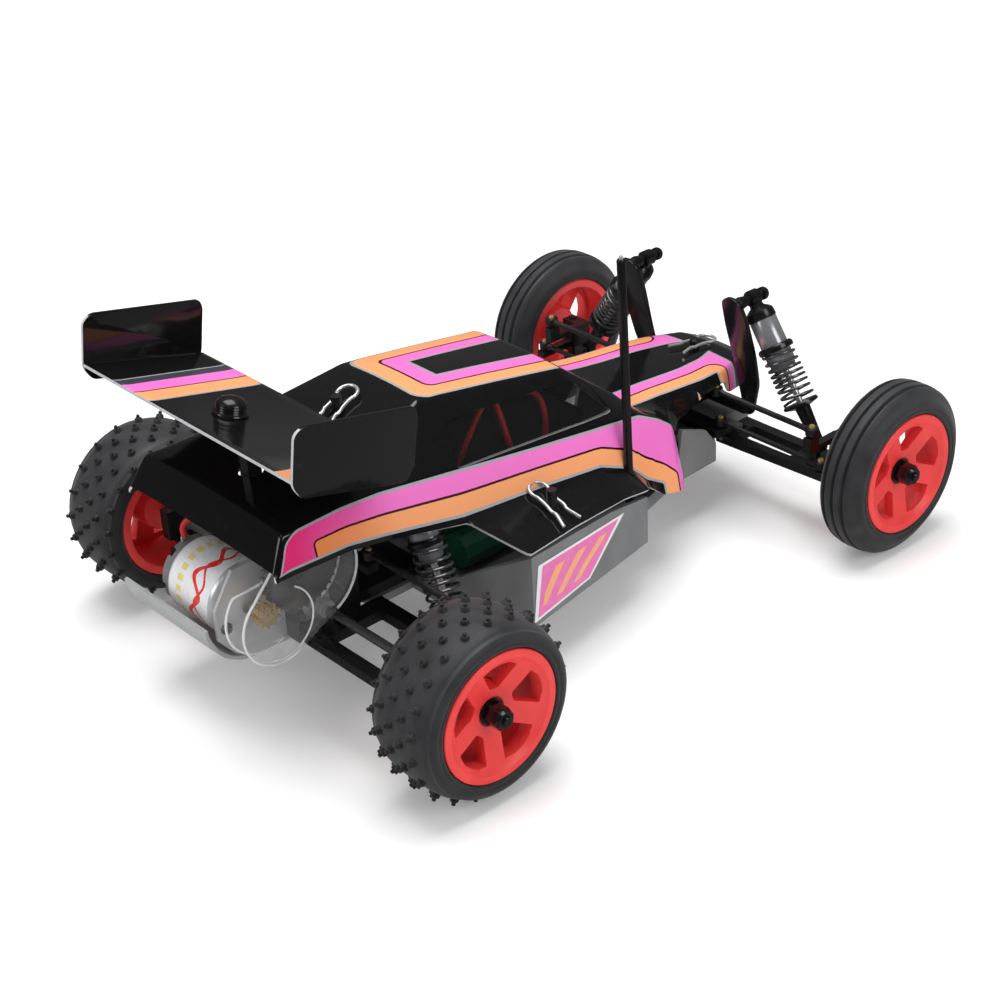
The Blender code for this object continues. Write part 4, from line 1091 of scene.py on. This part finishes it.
def wheel(end, x, dish, stub_y, tyre, radius, drop):
    """Rim, nut and tyre of both wheels at one end of the buggy."""
    low, high = node_box(f"{end}_tyre_left")
    axle_z = (low.z + high.z) / 2
    face_y, width = high.y, high.y - low.y
    end_y = node_box(f"{end}_rim_left")[1].y
    body = f"{end}_wheel"
    rim = wheel_rim(face_y, width, axle_z, x, dish, stub_y)
    pair(f"wheel_{end}_rim", rim, rim_red, body, [f"{end}_rim"])
    pair(f"wheel_{end}_nut", wheel_nut(face_y - dish - NUT_SINK, x, axle_z, end_y), satin_black, body)
    carcass = turned(tyre_profile(face_y, width, radius, drop), (x, 0, axle_z), ACROSS, 96, ring=True)
    pair(tyre, carcass, tread_rubber, body, [f"{end}_tyre"])


REAR_CARCASS = 27.0
STUD_ROWS = 21
STUD_COLUMNS = (-11.2, -6.7, -2.2, 2.3, 6.8)


def rear_drop(t):
    """Fall of the rear tyre's crown towards its shoulders."""
    return 0.4 * t * t + 1.5 * abs(t) ** 6


def front_drop(t):
    """Fall of the front tyre's crown, with three grooves between its ribs."""
    grooves = sum(exp(-(((t - g) / 0.075) ** 4)) for g in (-0.58, 0.0, 0.58))
    return 0.5 * t * t + 1.9 * abs(t) ** 7 + 1.25 * grooves


def stud(reach):
    """Profile of a tread stud: a short round peg with a small tip, standing on a flared foot."""
    return [(-0.6, 0), (-0.6, 1.7), (-0.1, 1.45), (0.2, 1.28), (0.95, 1.2), (1.2, 1.0), (1.25, 0.62),
            (reach - 0.2, 0.58), (reach, 0.4), (reach, 0)]


def rear_studs():
    """Staggered rows of studs, which lean outwards towards the shoulders."""
    low, high = node_box("rear_tyre_left")
    hub = Vector((0, (low.y + high.y) / 2, (low.z + high.z) / 2))
    half_tread = (high.y - low.y) / 2 - SHOULDER
    top = (high.z - low.z) / 2
    studs = []
    for column, across in enumerate(STUD_COLUMNS):
        share = across / half_tread
        drop = rear_drop(share)
        for row in range(STUD_ROWS):
            angle = 2 * pi * (row + 0.5 * (column % 2)) / STUD_ROWS
            outward = Vector((cos(angle), 0, sin(angle)))
            lean = (outward + Vector((0, 0.3 * share, 0))).normalized()
            foot = hub + Vector((0, across, 0)) + (REAR_CARCASS - drop) * outward
            reach = min(2.25, top - REAR_CARCASS + drop - 0.02)
            studs.append(turned(stud(reach), foot, lean, 14))
    pair("tyre_rear_studs", grouped(studs), stud_rubber, "rear_wheel")


def wheels():
    """All four wheels."""
    wheel("rear", 0.0, 4.0, 60.0, "tyre_rear_carcass", REAR_CARCASS, rear_drop)
    rear_studs()
    low, high = node_box("front_tyre_left")
    wheel("front", (low.x + high.x) / 2, 3.6, 74.0, "tyre_front", (high.z - low.z) / 2, front_drop)


# ---- suspension ----
COIL_RADIUS, COIL_WIRE = 5.25, 0.5
COIL_STEPS = 20                 # points in each turn
CYLINDER, CAP_END = 4.6, 7.8    # radius of a shock's body, and where its cap ends


def coil_spring(end, top, down, first, last, coils):
    """Coil springs that stretch between a shock's body and its rod."""
    side = down.orthogonal().normalized()
    across = down.cross(side)
    path = []
    for k in range(coils * COIL_STEPS + 1):
        angle = 2 * pi * k / COIL_STEPS
        share = k / (coils * COIL_STEPS)
        settle = share + 0.035 * sin(2 * pi * share)
        path.append(top + down * (first + (last - first) * settle)
                    + COIL_RADIUS * (cos(angle) * side + sin(angle) * across))
    coil = tube_along(path, COIL_WIRE, 8)
    for name, mesh in (("left", coil), ("right", mirrored(coil))):
        flip = Vector((1, 1 if name == "left" else -1, 1))
        shown = piece(f"{end}_coil_{name}", mesh, dark_chrome, None, [f"{end}_spring_{name}"])
        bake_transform(shown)


def shock(end, collar_at, cup_at, coils):
    """Shocks of one end of the buggy; every distance runs down from the top eye."""
    top = joint_point(f"{end}_damper_left_swing")
    down = Vector(JOINTS[f"{end}_damper_left_stroke"]["axis"])
    foot_z = node_box(f"{end}_shock_rod_left")[0].z + 2.3
    length = (top.z - foot_z) / -down.z
    foot = top + length * down
    body_end = 0.49 * length
    body, rod_body = f"{end}_damper", f"{end}_damper_rod"
    eye = rod(top + Vector((-2.2, 0, 0)), top + Vector((2.2, 0, 0)), 2.7, 28, 0.5)
    dome = [(1.4, 0), (1.4, 2.0), (3.2, 2.4), (4.0, 3.6), (5.0, 4.7), (7.4, 4.9), (CAP_END, 4.7),
            (CAP_END, 0)]
    pair(f"{end}_shock_cap", grouped([eye, turned(dome, top, down, 36)]), satin_black, body)
    cylinder = [(CAP_END, 0), (CAP_END, 4.45), (8.1, CYLINDER), (body_end - 3.2, CYLINDER),
                (body_end - 2.8, 4.3), (body_end - 0.4, 3.8), (body_end, 3.4), (body_end, 0)]
    pair(f"{end}_shock_cylinder", turned(cylinder, top, down, 40), gunmetal, body, [f"{end}_shock_body"])
    collar = [(-0.6, 4.62), (-0.6, 5.4), (0, 6.0), (1.2, 6.0), (1.6, 5.6), (1.6, 4.62)]
    ring = [(collar_at + along_it, radius) for along_it, radius in collar]
    pair(f"{end}_shock_collar", turned(ring, top, down, 40, ring=True), satin_black, body)
    shaft = rod(top + down * (body_end - 5.0), top + down * (cup_at + 1), 1.1, 20)
    pair(f"{end}_shock_shaft", shaft, steel, rod_body)
    cup = [(cup_at, 0), (cup_at, 5.6), (cup_at + 0.4, 6.0), (cup_at + 1.2, 6.0), (cup_at + 1.6, 4.6),
           (cup_at + 2.2, 2.6), (length - 1.6, 1.9), (length - 1.4, 0)]
    eyelet = rod(foot + Vector((-1.5, 0, 0)), foot + Vector((1.5, 0, 0)), 2.3, 24, 0.3)
    pair(f"{end}_shock_foot", grouped([turned(cup, top, down, 36), eyelet]), satin_black, rod_body,
         [f"{end}_shock_rod"])
    coil_spring(end, top, down, collar_at + 2.1, cup_at - 0.5, coils)


def link(name, node, radius, cup):
    """Link with a slim waist, a round socket at each end, and the tops of its brass balls."""
    high = node_box(node + "_left")[1]
    start = joint_point(f"{node}_left_pivot")
    end = Vector((start.x, high.y - cup, start.z))
    span = end.y - start.y
    waist = radius * 0.82
    bar = [(0, 0), (0, radius), (2.4, radius), (3.4, waist), (span - 3.4, waist), (span - 2.4, radius),
           (span, radius), (span, 0)]
    socket = [(-1.5, 0), (-1.5, cup - 0.3), (-1.2, cup), (1.2, cup), (1.5, cup - 0.3), (1.5, 0)]
    stub = [(1.4, 0), (1.4, 1.1), (2.1, 0.8), (2.1, 0)]
    sockets = [turned(socket, point, UPRIGHT, 28) for point in (start, end)]
    pair(name, grouped([turned(bar, start, ACROSS, 16)] + sockets), nylon, node, [node])
    pair(name + "_ball", grouped([turned(stub, point, UPRIGHT, 16) for point in (start, end)]), brass, node)


def links():
    """Camber links, tie rods and drive shafts."""
    for name, node, radius, cup in (("camber_link_rear", "rear_link", 1.2, 2.2),
                                    ("camber_link_front", "front_link", 1.2, 2.2),
                                    ("steering_rod", "tie_rod", 1.1, 2.0)):
        link(name, node, radius, cup)
    inner = joint_point("drive_shaft_left_swing")
    outer = Vector((inner.x, node_box("drive_shaft_left")[1].y - 2.0, inner.z))
    shaft = [rod(inner, outer, 1.45, 20), ball(inner, 2.25), ball(outer, 1.95)]
    pair("dogbone_shaft", grouped(shaft), dark_chrome, "drive_shaft", ["drive_shaft"])


# ---- motor and gear cover ----
def lobed(motor, spur, motor_r, spur_r, steps=40):
    """Outline round two circles of different size, joined by straight tangents."""
    (mx, mz), (sx, sz) = motor, spur
    line = atan2(sz - mz, sx - mx)
    lean = (spur_r - motor_r) / hypot(sx - mx, sz - mz)
    top, bottom = line + pi / 2 + lean, line - pi / 2 - lean
    arcs = [(sx, sz, spur_r, bottom, top), (mx, mz, motor_r, top, 2 * pi + bottom)]
    points = []
    for cx, cz, r, first, last in arcs:
        for k in range(steps + 1):
            angle = first + (last - first) * k / steps
            points.append((cx + r * cos(angle), cz + r * sin(angle)))
    return points


def screw(start, direction, radius=1.5):
    """Button-head screw with a hexagonal socket."""
    start, direction = Vector(start), Vector(direction).normalized()
    head = [(-0.3, 0), (-0.3, radius), (0.3, radius), (0.9, radius * 0.8), (1.15, radius * 0.45), (1.15, 0)]
    socket = [(0.5, 0), (0.5, radius * 0.42), (2, radius * 0.42), (2, 0)]
    return combine(turned(head, start, direction, 24), turned(socket, start, direction, 6), "DIFFERENCE")


def power_unit():
    """Motor can with its sleeve and end bell, and a wire on its tab."""
    low, high = node_box("motor_can")
    x, z = (low.x + high.x) / 2, (low.z + high.z) / 2
    near, far = low.y, high.y - 2.6
    r = (high.x - low.x) / 2
    centre = Vector((x, 0, z))
    can = [(near, 0), (near, r - 1.4), (near + 0.5, r - 0.5), (near + 1.4, r - 0.1), (far - 5.2, r - 0.1),
           (far - 4.9, r - 0.5), (far - 4.9, 0)]
    piece("motor_casing", turned(can, centre, ACROSS, 72), aluminium, "root", ["motor_can"])
    sleeve = [(near + 2.2, r - 0.12), (near + 2.2, r + 0.02), (far - 5.8, r + 0.02), (far - 5.8, r - 0.12)]
    piece("motor_sleeve", turned(sleeve, centre, ACROSS, 72, ring=True), label_paint, "root")
    bell = [(far - 4.9, 0), (far - 4.9, r - 0.9), (far - 1.2, r - 0.9), (far - 0.4, r - 1.4), (far, r - 2.4),
            (far, 4.0), (far + 2.2, 3.5), (far + 2.6, 3.0), (far + 2.6, 0)]
    vents = []
    for k in range(6):
        vent = block((x - 1.4, far - 2.5, z - r - 2), (x + 1.4, far + 1.0, z - r + 4.4))
        turn = Matrix.Rotation(pi * k / 3 + 0.4, 4, "Y")
        vent.transform(Matrix.Translation(centre) @ turn @ Matrix.Translation(-centre))
        vents.append(vent)
    piece("motor_end_bell", bevelled(fuse([turned(bell, centre, ACROSS, 64)], vents), 0.15, 1),
          grey_plastic, "root")
    tab = bevelled(block((x - 3.2, far - 2.2, z + r - 3.2), (x - 0.6, far - 1.4, z + r + 0.4)), 0.12, 1)
    piece("motor_tab", tab, steel, "root")
    wire = [(x - 2.0, far - 1.8, z + r - 0.2), (x - 1.0, far - 1.0, z + r + 3.6),
            (x + 4.0, far - 4, z + r + 7.0), (x + 13, far - 9, z + r + 8.0), (x + 22, far - 14, z + r + 4.0)]
    piece("motor_wire", tube_along(curve_through(wire), 1.0), wire_red, "root")


CASE_WALL = 0.9
MOTOR_LOBE, SPUR_LOBE = 13.2, 16.0      # radii of the case's two round ends


def gear_case():
    """Clear cup over the gears: two round lobes with a rolled rim, and a black bolt on the motor's plate."""
    motor_at, spur_at = joint_point("pinion_gear_spin"), joint_point("spur_gear_spin")
    motor, spur = (motor_at.x, motor_at.z), (spur_at.x, spur_at.z)
    low, high = node_box("gear_cover")
    outer_y, inner_y = low.y, high.y
    cup = prism(lobed(motor, spur, MOTOR_LOBE, SPUR_LOBE), "Y", outer_y, inner_y)
    inside = lobed(motor, spur, MOTOR_LOBE - CASE_WALL, SPUR_LOBE - CASE_WALL)
    hollow = prism(inside, "Y", outer_y + CASE_WALL, inner_y + 2)
    gearbox_room = block((-9.3, -12, -2), (20, -4, 23.1))
    tower_room = block((-10.6, -10.9, -3), (20, -4, 46))
    case = fuse([cup], [hollow, gearbox_room, tower_room])
    piece("clear_gear_case", bevelled(case, 0.45, 3, 50), clear, "root", ["gear_cover"])
    # Rim and crease lines in pale, mostly opaque plastic: a painted highlight on the clear case.
    edges = []
    for y, inset in ((outer_y + 0.35, 0.3), (inner_y - 5.6, 0.2)):
        loop = lobed(motor, spur, MOTOR_LOBE - inset, SPUR_LOBE - inset)
        path = [Vector((x, y, z)) for x, z in loop if z < 30 or y < -18]
        edges.append(tube_along(path, 0.42, 8))
    crease = [Vector((motor[0] + 11.6 * cos(a / 10), outer_y + 0.2, motor[1] + 11.6 * sin(a / 10)))
              for a in range(-19, 11)]
    edges.append(tube_along(crease, 0.3, 8))
    piece("gear_case_rim", grouped(edges), clear_rim, "root")
    bolt = screw((motor_at.x - 9.2, inner_y + 0.3, motor_at.z - 4.0), (0, -1, 0), 1.9)
    piece("gear_case_bolt", bolt, satin_black, "root")


# ---- side stickers, front tower and shock pins ----
def side_stickers():
    """Slanted sticker on the outer wall of each side pod, standing a hair off the plastic."""
    first, last = Vector((45.0, 54.2)), Vector((84.0, 47.6))
    out = Vector((last.y - first.y, first.x - last.x)).normalized() * -0.22
    bottom_reach, top_reach = (0.0, 0.70), (0.07, 1.16)
    bm = bmesh.new()
    sheet = bm.loops.layers.uv.new("sheet")
    steps = 12
    grid = []
    for i in range(steps + 1):
        row = []
        for j in range(5):
            u, v = i / steps, j / 4
            bottom = bottom_reach[0] + (bottom_reach[1] - bottom_reach[0]) * u
            top = top_reach[0] + (top_reach[1] - top_reach[0]) * u
            share = bottom + (top - bottom) * v
            spot = first + (last - first) * share + out
            low_z, high_z = 1.6 + 1.4 * u, 20.2 - 3.0 * u
            row.append((bm.verts.new((spot.x, spot.y, low_z + (high_z - low_z) * v)), u, v))
        grid.append(row)
    for a, b in zip(grid, grid[1:]):
        for k in range(4):
            corner = [a[k], b[k], b[k + 1], a[k + 1]]
            face = bm.faces.new([item[0] for item in corner])
            for loop, (_, u, v) in zip(face.loops, corner):
                loop[sheet].uv = (u, v)
    mesh = bpy.data.meshes.new("sticker")
    bm.normal_update()
    if next(iter(bm.faces)).normal.y < 0:
        bmesh.ops.reverse_faces(bm, faces=bm.faces)
    bm.to_mesh(mesh)
    bm.free()
    mesh = refined(mesh, ("SOLIDIFY", {"thickness": 0.1, "offset": -1}))
    pair("pod_sticker", mesh, sticker_paint, "root")


TOWER_LEAN = -0.26              # the front tower's top leans back this much per millimetre of height
TOWER_TOP_Z = 50.0


def front_tower():
    """Front shock tower: two round-topped ears on a base under the hood, with the hood post."""
    low = node_box("front_shock_tower")[0]
    ear = rounded([(16.6, 9.0), (19.4, 13.0), (19.4, 32.0), (18.8, 46.0), (19.2, 55.0), (22.0, 57.4),
                   (27.0, 57.2), (28.8, 50.0), (29.4, 36.0), (28.4, 24.0), (22.6, 9.0)], 2.4, 4)
    front = low.x + 1.0
    outlines = [[(-19, 8.4), (19, 8.4), (19, 14), (-19, 14)]]
    for side in (-1, 1):
        outlines.append([(side * y, z) for y, z in ear])
    plate = bevelled(fuse([prism(outline, "X", front - 1.6, front) for outline in outlines]), 0.25, 2)
    for vert in plate.vertices:
        vert.co.x += TOWER_LEAN * (vert.co.z - TOWER_TOP_Z)
    piece("front_tower_plate", plate, satin_black, "root", ["front_shock_tower"])
    post = [(0, 0), (0, 1.7), (20, 1.7), (20.5, 1.2), (20.5, 0)]
    foot = block((HOOD_POST_X - 3, -3, 9), (HOOD_POST_X + 6, 3, 12.4))
    piece("hood_post", grouped([turned(post, (HOOD_POST_X, 0, 12.0), UPRIGHT, 20), foot]), nylon, "root")


def shock_pins():
    """Pins with a screw at their tip that carry the shocks on both towers; the front ones reach back too."""
    tip = [(2.2, 0), (2.2, 1.5), (3.6, 1.5), (3.9, 2.2), (5.2, 2.2), (5.2, 0)]
    root = [(-7.6, 0), (-7.6, 1.9), (-6.2, 2.2), (-2.2, 1.5), (-2.2, 0)]
    for end, outlines in (("front", (tip, root)), ("rear", (tip,))):
        top = joint_point(f"{end}_damper_left_swing")
        parts = [screw(top + Vector((5.2, 0, 0)), AHEAD, 2.1)]
        parts += [turned(outline, top, AHEAD, 24) for outline in outlines]
        pair(f"{end}_shock_pin", grouped(parts), satin_black, "root")


# ---- CAD pieces that stay ----
KEPT = {
    "chassis_tub": tub_grey, "rear_shock_tower": nylon,
    "gearbox_case": nylon, "diff_shaft": steel, "spur_gear": spur_nylon, "pinion_gear": brass,
    "motor_plate": aluminium, "battery_pack": battery_green, "radio_box": nylon, "steering_servo": nylon,
    "servo_horn": white_nylon, "steering_link": nylon,
}
KEPT_PAIRS = {"rear_arm": nylon, "rear_hub": nylon, "front_arm": nylon, "front_carrier": nylon,
              "front_knuckle": nylon}


def finish_kept():
    """Materials and softened edges for the CAD pieces that are shown as they are."""
    for name, paint in KEPT_PAIRS.items():
        KEPT[name + "_left"] = paint
        KEPT[name + "_right"] = paint
    for name, paint in KEPT.items():
        node = frame["nodes"][name]
        node.data.materials.clear()
        node.data.materials.append(paint.material)
        weld = node.modifiers.new("weld", "WELD")
        weld.merge_threshold = 0.00001
        bevel = node.modifiers.new("bevel", "BEVEL")
        bevel.width = (0.12 if name.endswith("_gear") else 0.3) * MM
        bevel.segments = 2
        bevel.limit_method = "ANGLE"
        bevel.angle_limit = radians(38)
        bevel.harden_normals = True


# ---- floor, light and camera ----
CAMERA_AT = Vector((-0.29171, -0.43853, 0.34079))
VIEW_HEADING, VIEW_DROP, VIEW_ROLL = radians(49.692), radians(30.117), radians(-3.18)
LENS = 74.39


def view_axes():
    """Right, up and forward directions of the level camera."""
    level = cos(VIEW_DROP)
    forward = Vector((level * cos(VIEW_HEADING), level * sin(VIEW_HEADING), -sin(VIEW_DROP)))
    right = forward.cross(Vector(UPRIGHT)).normalized()
    return right, right.cross(forward), forward


def camera():
    """Camera behind and to the right of the buggy, looking down along it."""
    right, up, forward = view_axes()
    side = cos(VIEW_ROLL) * right + sin(VIEW_ROLL) * up
    rise = cos(VIEW_ROLL) * up - sin(VIEW_ROLL) * right
    data = bpy.data.cameras.new("camera")
    data.lens = LENS
    data.sensor_width = 36
    data.clip_start = 0.01
    shown = bpy.data.objects.new("camera", data)
    bpy.context.collection.objects.link(shown)
    turn = Matrix((side, rise, -forward)).transposed().to_4x4()
    shown.matrix_world = Matrix.Translation(CAMERA_AT) @ turn
    bpy.context.scene.camera = shown


def area_light(name, place, target, size, watts):
    """Square soft light aimed at a point."""
    data = bpy.data.lights.new(name, "AREA")
    data.size = size
    data.energy = watts
    lamp = bpy.data.objects.new(name, data)
    lamp.location = place
    lamp.rotation_mode = "QUATERNION"
    lamp.rotation_quaternion = (Vector(target) - Vector(place)).to_track_quat("-Z", "Y")
    bpy.context.collection.objects.link(lamp)


FLOOR_HALF_SIDE = 3.0
FLOOR_GLOW = 0.12
SKY_LIGHT, SKY_SEEN = 0.45, 0.9         # strength of the surroundings as light, and as the camera sees them
SKY_RAMP = (-0.2, 0.85, 0.012, 0.10)    # reflections: from and to on the way forward, dark and light end
LIGHTS = {"key": ((0.1, 0.1, 1.1), (0.08, 0, 0), 0.9, 12),
          "side": ((0.3, -1.1, 0.7), (0.08, 0, 0.02), 0.6, 4),
          "back": ((-0.9, 0.3, 0.6), (0.0, 0, 0.02), 0.5, 2.5)}


def floor():
    """Pale floor that glows a little and looks dark in reflections."""
    bm = bmesh.new()
    bmesh.ops.create_grid(bm, x_segments=4, y_segments=4, size=FLOOR_HALF_SIDE)
    mesh = bpy.data.meshes.new("floor")
    bm.to_mesh(mesh)
    bm.free()
    sheet = bpy.data.objects.new("floor", mesh)
    sheet.location.z = cad_low.z
    bpy.context.collection.objects.link(sheet)
    paper = Paint("floor_paper", roughness=0.9)
    grain = paper.noise(30.0, 4.0)
    rays = paper.tree.nodes.new("ShaderNodeLightPath")
    mirror = Term(paper.tree, rays.outputs["Is Glossy Ray"])
    pale = paper.blend(grain, (0.92, 0.92, 0.92), (0.94, 0.94, 0.94))
    paper.set(base_color=paper.blend(mirror, pale, (0.16, 0.16, 0.16)), emission_color=(1.0, 1.0, 1.0),
              emission_strength=paper.between(mirror, 0.0, 1.0, FLOOR_GLOW, 0.0))
    mesh.materials.append(paper.material)


def surroundings():
    """Even white light; reflections see it bright ahead of the camera and dark behind it."""
    world = bpy.data.worlds.new("studio")
    world.use_nodes = True
    bpy.context.scene.world = world
    tree = world.node_tree
    background = tree.nodes["Background"]
    background.inputs["Color"].default_value = (1, 1, 1, 1)
    facing = tree.nodes.new("ShaderNodeTexCoord")
    dot = tree.nodes.new("ShaderNodeVectorMath")
    dot.operation = "DOT_PRODUCT"
    dot.inputs[1].default_value = Vector((cos(VIEW_HEADING), sin(VIEW_HEADING), 0.35)).normalized()
    tree.links.new(facing.outputs["Generated"], dot.inputs[0])
    ramp = tree.nodes.new("ShaderNodeMapRange")
    ramp.interpolation_type = "SMOOTHSTEP"
    for value, socket in zip(SKY_RAMP, ramp.inputs[1:5]):
        socket.default_value = value
    tree.links.new(dot.outputs["Value"], ramp.inputs[0])
    rays = tree.nodes.new("ShaderNodeLightPath")
    mix = tree.nodes.new("ShaderNodeMix")
    mix.inputs[2].default_value = SKY_LIGHT
    tree.links.new(rays.outputs["Is Glossy Ray"], mix.inputs[0])
    tree.links.new(ramp.outputs[0], mix.inputs[3])
    seen = tree.nodes.new("ShaderNodeMix")
    seen.inputs[3].default_value = SKY_SEEN
    tree.links.new(rays.outputs["Is Camera Ray"], seen.inputs[0])
    tree.links.new(mix.outputs[0], seen.inputs[2])
    tree.links.new(seen.outputs[0], background.inputs["Strength"])


def studio():
    """Floor, surroundings and three soft lights."""
    floor()
    surroundings()
    for name, (place, target, size, watts) in LIGHTS.items():
        area_light(name, place, target, size, watts)
    bpy.context.scene.view_settings.view_transform = "Standard"


finish_kept()
body_shell()
cabin_parts()
wing()
body_clips()
antenna()
wheels()
shock("rear", 13.0, 34.0, 7)
shock("front", 17.6, 37.4, 8)
links()
power_unit()
gear_case()
side_stickers()
front_tower()
shock_pins()
studio()
camera()
